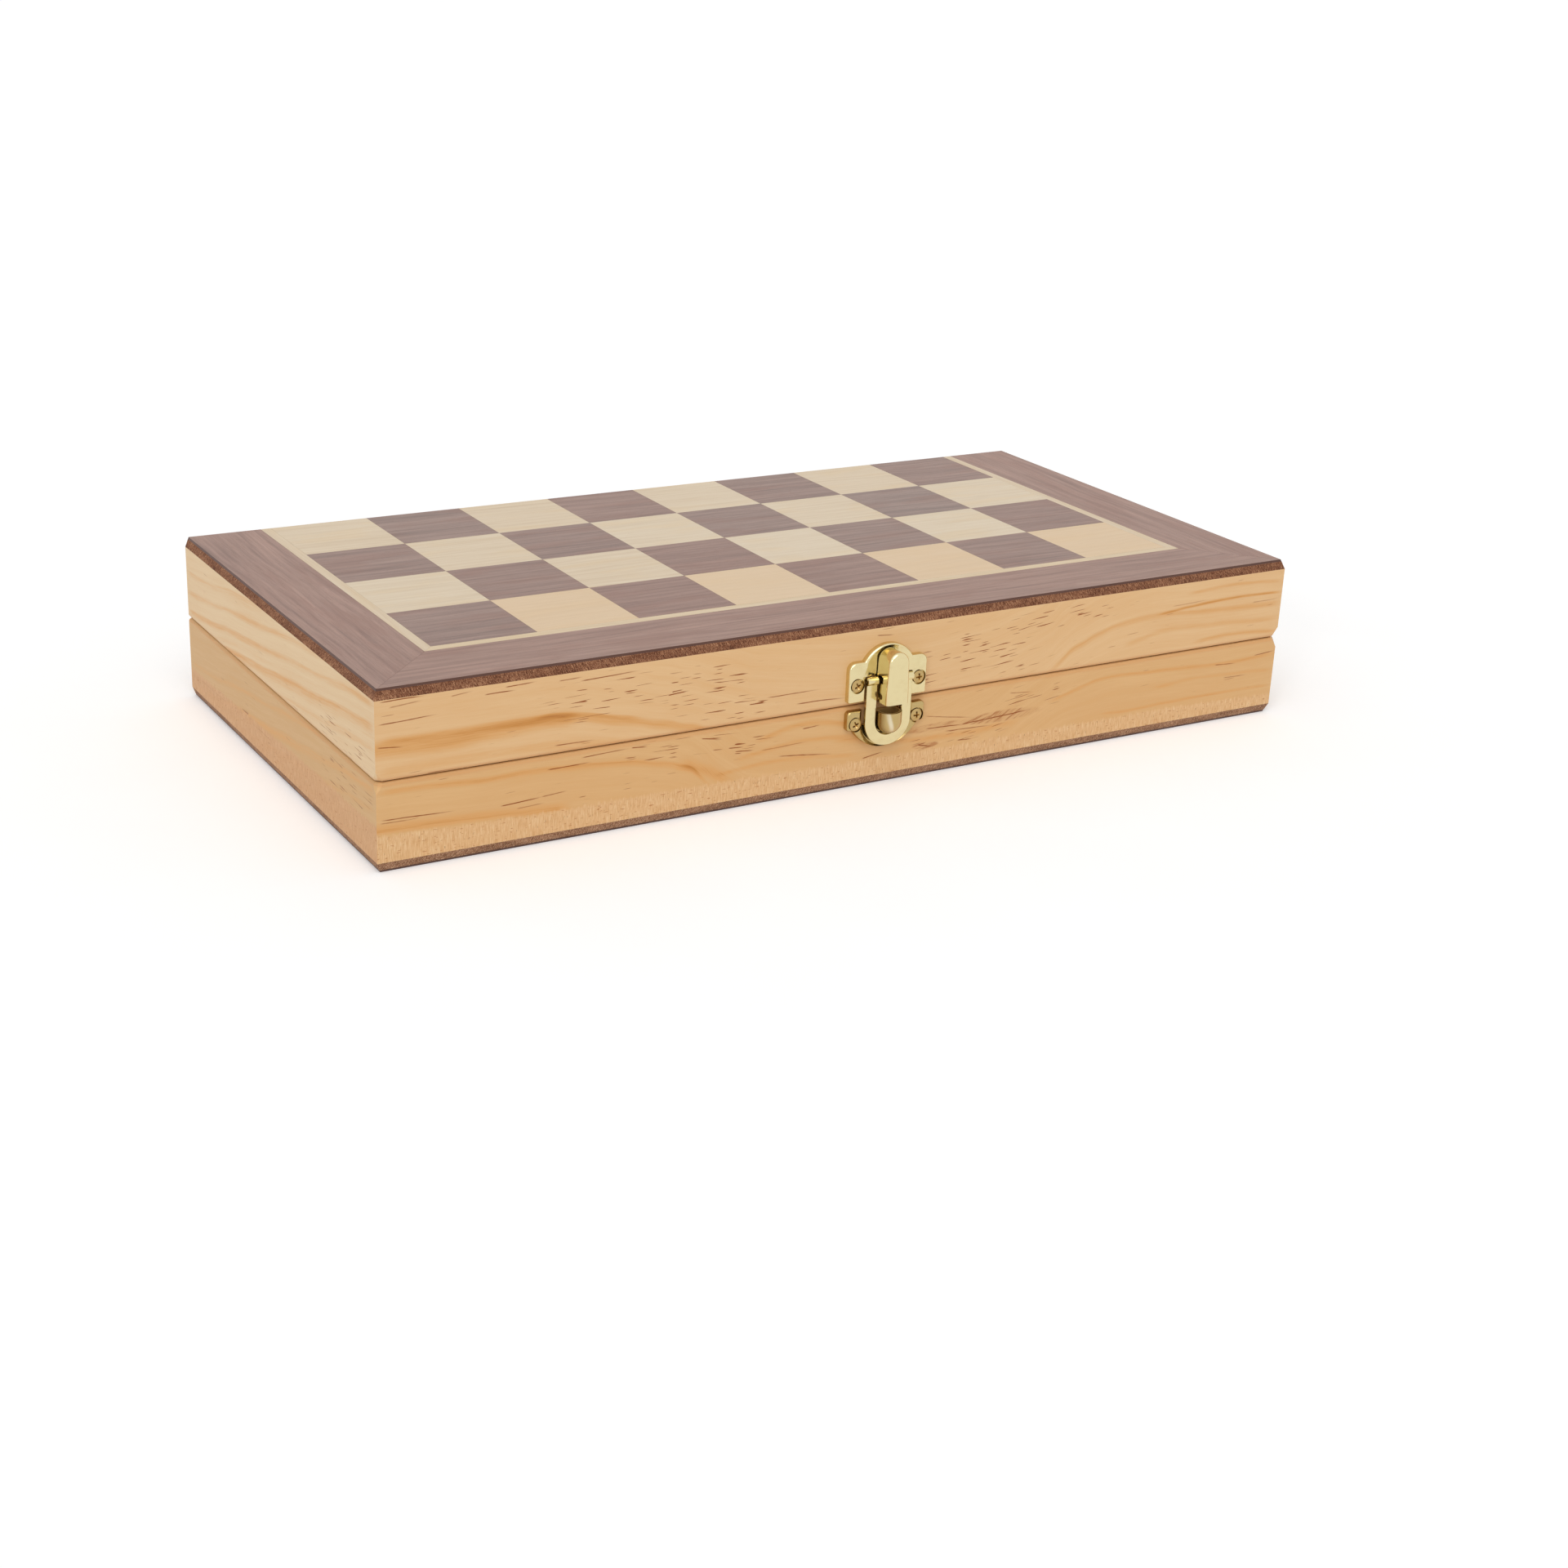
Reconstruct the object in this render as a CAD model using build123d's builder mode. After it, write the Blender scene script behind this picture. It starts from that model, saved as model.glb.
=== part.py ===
from build123d import *
import os

# A chess board that folds into a flat box: two shallow pine trays, hinged along one long side and
# held shut by a toggle latch, each with half of the playing surface on its outside.
# X runs along the fold, the latch faces -Y, the origin is the middle of the bottom face.

os.makedirs("parts", exist_ok=True)

# Playing surface
square = 30.0
files = 8
rows = 4
stringing_w = 3.0
border_w = 21.7
veneer_t = 0.6
core_t = 2.2
bevel_in = 1.1
veneer_joint = 0.04

# Pine trays
wall_h = 21.35
wall_t = 9.0
rim_gap = 0.3
fold_gap = 0.3
rim_round = 1.0
corner_sand_plan = 2.2
corner_sand_down = 3.0
felt_t = 0.8
felt_clear = 0.1

# Butt hinges
hinge_spacing = 170.0
leaf_len = 30.0
leaf_t = 0.8
leaf_margin = 1.8
barrel_r = 2.2
hinge_pin_r = 1.0
hinge_pin_head = 0.4
knuckles = 3
knuckle_gap = 0.2
barrel_clear = 0.3
run_clear = 0.05
hinge_screw_spacing = 18.0
hinge_screw_head_r = 1.6
hinge_screw_r = 0.8
hinge_screw_len = 8.0
pilot_clear = 0.03
shank_sides = 8

# Latch: heights are above the parting plane, depths are out from the front of the box
latch_x = 3.0
plate_t = 1.0
plate_edge = 0.25
plate_half_w = 12.7
plate_low = 1.3
ear_high = 12.9
ear_in = 7.8
ear_round = 2.2
dome_high = 17.3
arm_slot_in = 3.9
arm_slot_high = 8.7
keeper_high = -1.0
keeper_ear_low = -6.7
keeper_bottom = -12.7
keeper_bottom_r = 12.5
keeper_slot_low = -5.6
keeper_slot_in = 4.5
keeper_corner = 1.2
latch_screw_x = 10.0
base_screw_z = 6.3
keeper_screw_z = -4.9
latch_screw_r = 0.9
latch_screw_head_r = 1.9
latch_screw_head_h = 1.1
latch_screw_len = 6.5

hook_r = 3.7
hook_z = -4.6
hook_out = 6.4
hook_round = 3.2
hook_inside_edge = 1.6
hook_wall = 0.8
hook_top = -1.65

lever_half_w = 3.6
lever_top_half_w = 3.25
lever_taper_z = 4.5
lever_low = 1.2
lever_high = 16.0
lever_back = 1.3
lever_front = 7.2
lever_wall = 0.8
lever_round = 1.0
lever_pin_out = 3.8
lever_pin_z = 3.0
lever_pin_r = 0.8
lug_t = 0.9
lug_side_clear = 0.3
lug_r = 1.6

loop_side_clear = 0.4
strap_w = 3.3
strap_t = 1.0
strap_back = 1.8
strap_edge = 0.2
loop_pin_z = 7.3
loop_pin_r = 0.55
loop_eye_r = 1.15
loop_pin_short = 0.1
window_high = 8.6
window_front = 4.4

# Derived sizes
panel_t = core_t + veneer_t
length = files * square + 2 * (stringing_w + border_w + bevel_in)
depth = rows * square + stringing_w + border_w + bevel_in
parting = panel_t + wall_h + rim_gap / 2
rim_z = parting + rim_gap / 2
panel_z = rim_z + wall_h
veneer_z = panel_z + core_t
fold_y = depth / 2 + fold_gap / 2
field_x = files * square / 2
field_y = depth / 2 - rows * square
string_x = field_x + stringing_w
string_y = field_y - stringing_w
leaf_reach = fold_gap / 2 + wall_t - leaf_margin
hinge_screw_y = fold_y - (barrel_r + leaf_reach) / 2
hinge_xs = (-hinge_spacing / 2, hinge_spacing / 2)
hinge_sink = hinge_screw_head_r - hinge_screw_r
loop_in = hook_r + loop_side_clear
loop_out = loop_in + strap_w
strap_mid = strap_back + strap_t / 2
lug_in = lever_half_w - lever_wall - lug_side_clear - lug_t

mirror_plane = Plane.XY.offset(parting)
front = Plane(origin=(latch_x, -depth / 2, parting), x_dir=(1, 0, 0), z_dir=(0, -1, 0))
side = Plane(origin=(latch_x, -depth / 2, parting), x_dir=(0, -1, 0), z_dir=(-1, 0, 0))


def save(piece, name):
    """Label a finished piece and write it as its own file."""
    piece.label = name
    export_step(piece, f"parts/{name}.step")


def on_half(piece, half):
    """Pieces are drawn for the upper half; the lower half holds their mirror images."""
    return mirror(piece, about=mirror_plane) if half == "lower" else piece


def across_hinge(x):
    """Plane square to the hinge axis: its local x points out of the back, and it extrudes along +X."""
    return Plane((x, fold_y, parting), x_dir=(0, 1, 0), z_dir=(1, 0, 0))


# Playing panel of one half: a core board with veneer on its outside. Three edges lean inwards,
# and the fourth, along the fold, is square so that the two fields meet when the board is open.

with BuildPart() as panel_blank:
    with BuildSketch(Plane.XY.offset(panel_z)):
        Rectangle(length, depth)
    with BuildSketch(Plane.XY.offset(panel_z + panel_t)):
        with Locations((0, bevel_in / 2)):
            Rectangle(length - 2 * bevel_in, depth - bevel_in)
    loft(ruled=True)


def build_core():
    with BuildPart() as core:
        add(panel_blank.part)
        split(bisect_by=Plane.XY.offset(veneer_z), keep=Keep.BOTTOM)
    return core.part


def build_squares(parity):
    """Every second square of the field, starting beside the fold."""
    with BuildPart() as squares:
        with BuildSketch(Plane.XY.offset(veneer_z)):
            centres = [
                (-field_x + square * (i + 0.5), depth / 2 - square * (j + 0.5))
                for i in range(files)
                for j in range(rows)
                if (i + j) % 2 == parity
            ]
            with Locations(*centres):
                Rectangle(square - veneer_joint, square - veneer_joint)
        extrude(amount=veneer_t)
    return squares.part


def build_strip(points):
    """One straight veneer strip, with its joints left open by half a joint on each side."""
    with BuildPart() as strip:
        with BuildSketch(Plane.XY.offset(veneer_z)):
            with BuildLine():
                Polyline(*points, close=True)
            make_face()
            offset(amount=-veneer_joint / 2, kind=Kind.INTERSECTION)
        extrude(amount=veneer_t)
        add(panel_blank.part, mode=Mode.INTERSECT)
    return strip.part


def strip_outlines(in_x, in_y, out_x, out_y):
    """Front, left and right strips round three sides of the field, mitred at the front corners."""
    back = depth / 2
    return {
        "front": [(-in_x, in_y), (in_x, in_y), (out_x, out_y), (-out_x, out_y)],
        "left": [(-in_x, back), (-in_x, in_y), (-out_x, out_y), (-out_x, back)],
        "right": [(in_x, back), (in_x, in_y), (out_x, out_y), (out_x, back)],
    }


stringing_outlines = strip_outlines(field_x, field_y, string_x, string_y)
border_outlines = strip_outlines(string_x, string_y, length / 2, -depth / 2)


# Pine frame of one half: four walls with mitred corners. The outer edges are eased where the two
# halves meet, and the back wall is let in for the hinge leaves and their barrels.


def rim_corner_plane(side_x):
    """Plane that sands off one front corner of the rim."""
    corner = Vector(side_x * length / 2, -depth / 2, rim_z)
    along_front = corner - Vector(side_x * corner_sand_plan, 0, 0)
    along_side = corner + Vector(0, corner_sand_plan, 0)
    down = corner + Vector(0, 0, corner_sand_down)
    normal = (along_side - along_front).cross(down - along_front)
    if normal.Z < 0:
        normal = -normal
    return Plane(origin=along_front, z_dir=normal)


def build_frame():
    with BuildPart() as frame:
        with BuildSketch(Plane.XY.offset(rim_z)):
            Rectangle(length, depth)
            Rectangle(length - 2 * wall_t, depth - 2 * wall_t, mode=Mode.SUBTRACT)
        extrude(amount=wall_h)
        for side_x in (-1, 1):
            split(bisect_by=rim_corner_plane(side_x), keep=Keep.TOP)
        rim_edges = frame.edges().group_by(Axis.Z)[0]
        outer = rim_edges.filter_by(
            lambda e: abs(e.center().X) > length / 2 - wall_t / 2 or e.center().Y < -depth / 2 + wall_t / 2
        )
        fillet(outer, radius=rim_round)
        for x in hinge_xs:
            with BuildSketch(Plane.XY.offset(rim_z)):
                with Locations((x, fold_y - leaf_reach / 2)):
                    Rectangle(leaf_len, leaf_reach)
            extrude(amount=leaf_t, mode=Mode.SUBTRACT)
            with BuildSketch(across_hinge(x)):
                Circle(barrel_r + barrel_clear)
            notch = leaf_len / 2 + hinge_pin_head + barrel_clear
            extrude(amount=notch, both=True, mode=Mode.SUBTRACT)
            with BuildSketch(Plane.XY.offset(rim_z)):
                with Locations((x, hinge_screw_y)):
                    with GridLocations(hinge_screw_spacing, 1, 2, 1):
                        RegularPolygon(hinge_screw_r + pilot_clear, shank_sides)
            extrude(amount=hinge_screw_len, mode=Mode.SUBTRACT)
    return frame.part


frame_ring = build_frame()
wall_outlines = {
    "front": [(-1, -1), (1, -1)],
    "back": [(-1, 1), (1, 1)],
    "left": [(-1, -1), (-1, 1)],
    "right": [(1, -1), (1, 1)],
}


def build_wall(ends, half):
    """One wall between two mitred corners; the front walls are drilled for the latch's screws."""
    in_x = length / 2 - wall_t
    in_y = depth / 2 - wall_t
    outer = [(sx * length / 2, sy * depth / 2) for sx, sy in ends]
    inner = [(sx * in_x, sy * in_y) for sx, sy in reversed(ends)]
    with BuildPart() as wall:
        with BuildSketch(Plane.XY.offset(rim_z)):
            with BuildLine():
                Polyline(*outer, *inner, close=True)
            make_face()
        extrude(amount=wall_h)
        add(frame_ring, mode=Mode.INTERSECT)
        if ends == wall_outlines["front"]:
            # The lower wall is mirrored afterwards, so its holes are drawn mirrored here.
            screw_z = base_screw_z if half == "upper" else -keeper_screw_z
            with BuildSketch(front):
                with Locations((0, screw_z)):
                    with GridLocations(2 * latch_screw_x, 1, 2, 1):
                        RegularPolygon(latch_screw_r + pilot_clear, shank_sides)
            extrude(amount=plate_t - latch_screw_len, mode=Mode.SUBTRACT)
    return wall.part


def build_felt():
    with BuildPart() as felt:
        with BuildSketch(Plane.XY.offset(panel_z)):
            Rectangle(length - 2 * (wall_t + felt_clear), depth - 2 * (wall_t + felt_clear))
        extrude(amount=-felt_t)
    return felt.part


core = build_core()
felt = build_felt()
for half in ("lower", "upper"):
    dark_parity = 0 if half == "lower" else 1
    for name, ends in wall_outlines.items():
        save(on_half(build_wall(ends, half), half), f"{half}_{name}_wall")
    save(on_half(core, half), f"{half}_panel_core")
    save(on_half(build_squares(dark_parity), half), f"{half}_dark_squares")
    save(on_half(build_squares(1 - dark_parity), half), f"{half}_light_squares")
    for name, points in stringing_outlines.items():
        save(on_half(build_strip(points), half), f"{half}_stringing_{name}")
    for name, points in border_outlines.items():
        save(on_half(build_strip(points), half), f"{half}_border_{name}")
    save(on_half(felt, half), f"{half}_felt_lining")


# Butt hinges: three knuckles on one axis just behind the box, two on the lower leaf and one on
# the upper one, each leaf let into its rim and held by two countersunk screws.

knuckle_len = leaf_len / knuckles


def knuckle_planes(x, first):
    """Planes square to the hinge axis where every second knuckle starts."""
    starts = [x - leaf_len / 2 + knuckle_len * k for k in range(first, knuckles, 2)]
    return [across_hinge(start) for start in starts]


def build_leaf(x, half):
    up = 1 if half == "upper" else -1
    own_first = 1 if half == "upper" else 0
    face = parting + up * rim_gap / 2
    with BuildPart() as leaf:
        with BuildSketch(Plane.XY.offset(face)):
            with Locations((x, fold_y - leaf_reach / 2)):
                Rectangle(leaf_len, leaf_reach)
        extrude(amount=up * leaf_t)
        for plane in knuckle_planes(x, 1 - own_first):
            with BuildSketch(plane.offset(-knuckle_gap)):
                Circle(barrel_r + barrel_clear)
            extrude(amount=knuckle_len + 2 * knuckle_gap, mode=Mode.SUBTRACT)
        for plane in knuckle_planes(x, own_first):
            with BuildSketch(plane):
                Circle(barrel_r)
            extrude(amount=knuckle_len)
        with BuildSketch(across_hinge(x)):
            Circle(hinge_pin_r + run_clear)
        extrude(amount=leaf_len, both=True, mode=Mode.SUBTRACT)
        with Locations(Plane((x, hinge_screw_y, face), x_dir=(1, 0, 0), z_dir=(0, 0, -up))):
            with GridLocations(hinge_screw_spacing, 1, 2, 1):
                CounterSinkHole(
                    hinge_screw_r + run_clear, hinge_screw_head_r + run_clear, leaf_t, counter_sink_angle=90
                )
    return leaf.part


def build_hinge_pin(x):
    with BuildPart() as pin:
        with BuildSketch(across_hinge(x)):
            Circle(hinge_pin_r)
        extrude(amount=leaf_len / 2 + hinge_pin_head, both=True)
    return pin.part


def build_hinge_screws(half):
    """Countersunk screws of both hinges on one half, heads flush with the leaves."""
    up = 1 if half == "upper" else -1
    with BuildPart() as screws:
        for x in hinge_xs:
            seat = Plane((x, hinge_screw_y, parting + up * rim_gap / 2), x_dir=(1, 0, 0), z_dir=(0, 0, up))
            with BuildSketch(seat):
                with GridLocations(hinge_screw_spacing, 1, 2, 1):
                    Circle(hinge_screw_head_r)
            extrude(amount=hinge_sink, taper=45)
            with BuildSketch(seat):
                with GridLocations(hinge_screw_spacing, 1, 2, 1):
                    RegularPolygon(hinge_screw_r, shank_sides)
            extrude(amount=hinge_screw_len)
    return screws.part


for hinge_name, x in zip(("left", "right"), hinge_xs):
    for half in ("lower", "upper"):
        save(build_leaf(x, half), f"{hinge_name}_hinge_{half}_leaf")
    save(build_hinge_pin(x), f"{hinge_name}_hinge_pin")
for half in ("lower", "upper"):
    save(build_hinge_screws(half), f"{half}_hinge_screws")


# Latch: a stamped base plate on the upper half carries the lever between two lugs; the lever
# carries a strap loop on a cross pin, and the loop pulls on the hook of the lower half's keeper.


with BuildPart() as latch_base_plate:
    with BuildSketch(front):
        with BuildLine():
            Polyline(
                (-ear_in, ear_high),
                (-plate_half_w, ear_high),
                (-plate_half_w, plate_low),
                (plate_half_w, plate_low),
                (plate_half_w, ear_high),
                (ear_in, ear_high),
            )
            ThreePointArc((ear_in, ear_high), (0, dome_high), (-ear_in, ear_high))
        plate_face = make_face()
        ear_mid = (ear_in + plate_half_w) / 2
        ear_tips = [v for v in plate_face.vertices() if abs(v.X) > ear_mid and v.Y > base_screw_z]
        fillet(ear_tips, radius=ear_round)
        slot_mid = (arm_slot_in + ear_in) / 2
        for x in (-slot_mid, slot_mid):
            with Locations((x, (plate_low + arm_slot_high) / 2)):
                Rectangle(ear_in - arm_slot_in, arm_slot_high - plate_low, mode=Mode.SUBTRACT)
    extrude(amount=plate_t)
    chamfer(latch_base_plate.faces().sort_by(Axis.Y)[0].edges(), length=plate_edge)
    for x in (lug_in, -lug_in - lug_t):
        with BuildSketch(side.offset(-x)):
            with Locations((lever_pin_out, lever_pin_z)):
                Circle(lug_r)
            with Locations(((plate_t / 2 + lever_pin_out) / 2, lever_pin_z)):
                Rectangle(lever_pin_out - plate_t / 2, 2 * lug_r)
        extrude(amount=-lug_t)
    with BuildSketch(side):
        with Locations((lever_pin_out, lever_pin_z)):
            Circle(lever_pin_r + run_clear)
    extrude(amount=lever_half_w, both=True, mode=Mode.SUBTRACT)
    with BuildSketch(front):
        with Locations((0, base_screw_z)):
            with GridLocations(2 * latch_screw_x, 1, 2, 1):
                Circle(latch_screw_r + run_clear)
    extrude(amount=plate_t, mode=Mode.SUBTRACT)

with BuildPart() as latch_keeper:
    keeper_arc_z = keeper_bottom + keeper_bottom_r
    foot_x = (keeper_bottom_r**2 - (keeper_ear_low - keeper_arc_z) ** 2) ** 0.5
    with BuildSketch(front):
        with BuildLine():
            Polyline(
                (foot_x, keeper_ear_low),
                (plate_half_w, keeper_ear_low),
                (plate_half_w, keeper_high),
                (-plate_half_w, keeper_high),
                (-plate_half_w, keeper_ear_low),
                (-foot_x, keeper_ear_low),
            )
            ThreePointArc((-foot_x, keeper_ear_low), (0, keeper_bottom), (foot_x, keeper_ear_low))
        keeper_face = make_face()
        ear_tips = [v for v in keeper_face.vertices() if abs(v.X) > ear_mid and v.Y > keeper_screw_z]
        fillet(ear_tips, radius=keeper_corner)
        slot_mid = (keeper_slot_in + ear_in) / 2
        for x in (-slot_mid, slot_mid):
            with Locations((x, (keeper_high + keeper_slot_low) / 2)):
                Rectangle(ear_in - keeper_slot_in, keeper_high - keeper_slot_low, mode=Mode.SUBTRACT)
        with Locations((0, (keeper_high + hook_top) / 2)):
            Rectangle(2 * keeper_slot_in, keeper_high - hook_top, mode=Mode.SUBTRACT)
    extrude(amount=plate_t)
    chamfer(latch_keeper.faces().sort_by(Axis.Y)[0].edges(), length=plate_edge)
    # The hook is a cup pressed out of the plate: round below, with straight sides that end in an
    # open top. Its section lies level, and the lower half is that section turned about its middle.
    cup = Plane(front.from_local_coords((0, hook_z, 0)), x_dir=(-1, 0, 0), z_dir=(0, 0, 1))
    flat, inner_w, inner_nose = hook_r - hook_round, hook_r - hook_wall, hook_out - hook_wall
    with BuildSketch(cup) as outside:
        with BuildLine():
            CenterArc((flat, hook_out - hook_round), hook_round, 0, 90)
            Polyline((flat, hook_out), (0, hook_out), (0, 0), (hook_r, 0), (hook_r, hook_out - hook_round))
        make_face()
    with BuildSketch(cup) as inside:
        with BuildLine():
            Polyline(
                (0, 0),
                (inner_w, 0),
                (inner_w, inner_nose - hook_inside_edge),
                (inner_w - hook_inside_edge, inner_nose),
                (0, inner_nose),
                close=True,
            )
        make_face()
    for half_section, mode in ((outside, Mode.ADD), (inside, Mode.SUBTRACT)):
        with BuildSketch(cup):
            add(half_section.sketch_local)
        revolve(axis=Axis(cup.origin, (0, -1, 0)), revolution_arc=180, mode=mode)
        with BuildSketch(cup):
            add(half_section.sketch_local)
            mirror(about=Plane.YZ)
        extrude(amount=hook_top - hook_z, mode=mode)
    with BuildSketch(front):
        with Locations((0, keeper_screw_z)):
            with GridLocations(2 * latch_screw_x, 1, 2, 1):
                Circle(latch_screw_r + run_clear)
    extrude(amount=plate_t, mode=Mode.SUBTRACT)

with BuildPart() as latch_lever:
    arc_z = lever_high - lever_top_half_w
    with BuildSketch(front.offset(lever_back)) as lever_outline:
        with BuildLine():
            Polyline(
                (-lever_top_half_w, arc_z),
                (-lever_half_w, lever_taper_z),
                (-lever_half_w, lever_low),
                (lever_half_w, lever_low),
                (lever_half_w, lever_taper_z),
                (lever_top_half_w, arc_z),
            )
            ThreePointArc((lever_top_half_w, arc_z), (0, lever_high), (-lever_top_half_w, arc_z))
        make_face()
    extrude(amount=lever_front - lever_back)
    front_edges = latch_lever.faces().sort_by(Axis.Y)[0].edges()
    fillet(front_edges.filter_by(lambda e: e.center().Z > parting + lever_pin_z), radius=lever_round)
    with BuildSketch(front.offset(lever_back)):
        add(lever_outline.sketch_local)
        offset(amount=-lever_wall, kind=Kind.INTERSECTION)
        inner_w = lever_half_w - lever_wall
        with Locations((0, lever_low + lever_wall / 2)):
            Rectangle(2 * inner_w, lever_wall)
    extrude(amount=lever_front - lever_wall - lever_back, mode=Mode.SUBTRACT)
    # The inner bottom corners are rounded about the pivot so that they pass the base plate.
    swing_r = lever_pin_out - lever_back
    with BuildSketch(side):
        with Locations((lever_back + swing_r / 2, lever_pin_z - swing_r / 2)):
            Rectangle(swing_r, swing_r)
        with Locations((lever_pin_out, lever_pin_z)):
            Circle(swing_r, mode=Mode.SUBTRACT)
    extrude(amount=lever_half_w, both=True, mode=Mode.SUBTRACT)
    with BuildSketch(side):
        with Locations((lever_pin_out, lever_pin_z)):
            Circle(lever_pin_r + run_clear)
        window_back = strap_mid - loop_pin_r - run_clear
        window_low = loop_pin_z - loop_pin_r - run_clear
        with Locations(((window_back + window_front) / 2, (window_low + window_high) / 2)):
            Rectangle(window_front - window_back, window_high - window_low)
    extrude(amount=lever_half_w, both=True, mode=Mode.SUBTRACT)

with BuildPart() as latch_lever_pin:
    with BuildSketch(side):
        with Locations((lever_pin_out, lever_pin_z)):
            Circle(lever_pin_r)
    extrude(amount=lever_half_w, both=True)

with BuildPart() as latch_loop_pin:
    with BuildSketch(side):
        with Locations((strap_mid, loop_pin_z)):
            Circle(loop_pin_r)
    extrude(amount=loop_out - loop_pin_short, both=True)

with BuildPart() as latch_loop:
    with BuildSketch(front.offset(strap_back)):
        with Locations((0, hook_z)):
            Circle(loop_out)
        with Locations((0, (hook_z + loop_pin_z) / 2)):
            Rectangle(2 * loop_out, loop_pin_z - hook_z)
        with Locations((0, hook_z)):
            Circle(loop_in, mode=Mode.SUBTRACT)
        with Locations((0, (hook_z + loop_pin_z) / 2)):
            Rectangle(2 * loop_in, loop_pin_z - hook_z, mode=Mode.SUBTRACT)
    extrude(amount=strap_t)
    chamfer(latch_loop.faces().sort_by(Axis.Y)[0].edges(), length=strap_edge)
    for x in (loop_in, -loop_out):
        with BuildSketch(side.offset(-x)):
            with Locations((strap_mid, loop_pin_z)):
                Circle(loop_eye_r)
        extrude(amount=-strap_w)
    with BuildSketch(side):
        with Locations((strap_mid, loop_pin_z)):
            Circle(loop_pin_r + run_clear)
    extrude(amount=loop_out, both=True, mode=Mode.SUBTRACT)


def build_latch_screws(screw_z):
    """Two wood screws side by side, heads on the plate."""
    seat = Plane(front.from_local_coords((0, screw_z, plate_t)), x_dir=(1, 0, 0), z_dir=(0, -1, 0))
    with BuildPart() as screws:
        with BuildSketch(seat):
            with GridLocations(2 * latch_screw_x, 1, 2, 1):
                Circle(latch_screw_head_r)
        extrude(amount=latch_screw_head_h)
        with BuildSketch(seat):
            with GridLocations(2 * latch_screw_x, 1, 2, 1):
                RegularPolygon(latch_screw_r, shank_sides)
        extrude(amount=-latch_screw_len)
    return screws.part


save(latch_base_plate.part, "latch_base_plate")
save(latch_keeper.part, "latch_keeper")
save(latch_lever.part, "latch_lever")
save(latch_lever_pin.part, "latch_lever_pin")
save(latch_loop_pin.part, "latch_loop_pin")
save(latch_loop.part, "latch_loop")
save(build_latch_screws(base_screw_z), "latch_base_screws")
save(build_latch_screws(keeper_screw_z), "latch_keeper_screws")
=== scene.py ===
"""Dresses a folding chess board: pine trays, inlaid playing panels, felt, hinges and a toggle latch."""

import logging
import math
from dataclasses import dataclass
from enum import Enum

import bmesh
import bpy
from mathutils import Matrix, Vector


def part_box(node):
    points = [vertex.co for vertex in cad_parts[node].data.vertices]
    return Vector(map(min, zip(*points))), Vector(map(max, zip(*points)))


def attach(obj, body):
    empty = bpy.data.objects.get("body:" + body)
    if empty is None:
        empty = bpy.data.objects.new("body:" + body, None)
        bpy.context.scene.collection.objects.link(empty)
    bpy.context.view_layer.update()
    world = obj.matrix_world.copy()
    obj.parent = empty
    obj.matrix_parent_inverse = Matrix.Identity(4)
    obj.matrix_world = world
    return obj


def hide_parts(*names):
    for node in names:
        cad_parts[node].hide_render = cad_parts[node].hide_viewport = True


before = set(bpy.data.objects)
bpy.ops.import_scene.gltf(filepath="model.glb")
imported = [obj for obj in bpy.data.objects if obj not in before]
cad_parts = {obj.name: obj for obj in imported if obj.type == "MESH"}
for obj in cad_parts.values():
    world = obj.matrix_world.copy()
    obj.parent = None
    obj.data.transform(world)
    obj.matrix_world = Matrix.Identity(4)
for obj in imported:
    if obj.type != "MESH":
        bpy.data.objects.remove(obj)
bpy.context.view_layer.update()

MM = 0.001
# Places on the board in mm: height of the parting plane, depth of the front wall, middle of the latch
PARTING = 24.3
FRONT_Y = -72.9
LATCH_X = 3.0
log = logging.getLogger("chess_board")


class Half(Enum):
    """The two trays, with the direction from the parting plane towards the tray's panel."""

    LOWER = ("lower", -1)
    UPPER = ("upper", 1)

    def node(self, name: str) -> str:
        """Name of one of this half's pieces."""
        return f"{self.value[0]}_{name}"

    @property
    def up(self) -> int:
        """+1 where the panel is above the parting plane, -1 where it is below."""
        return self.value[1]


class Grain(Enum):
    """Axis along which the fibres run: the coordinate along the grain and the one across it."""

    ALONG_X = ("X", "Y")
    ALONG_Y = ("Y", "X")


def paint(code: str) -> tuple[float, float, float, float]:
    """Colour from its hexadecimal code as it looks on a screen.

    Args:
        code: Six hexadecimal digits, such as "E0B888".

    Returns:
        Linear red, green and blue, and an alpha of 1.
    """
    shown = [int(code[i : i + 2], 16) / 255 for i in (0, 2, 4)]
    linear = [c / 12.92 if c <= 0.04045 else ((c + 0.055) / 1.055) ** 2.4 for c in shown]
    return (*linear, 1.0)


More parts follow.
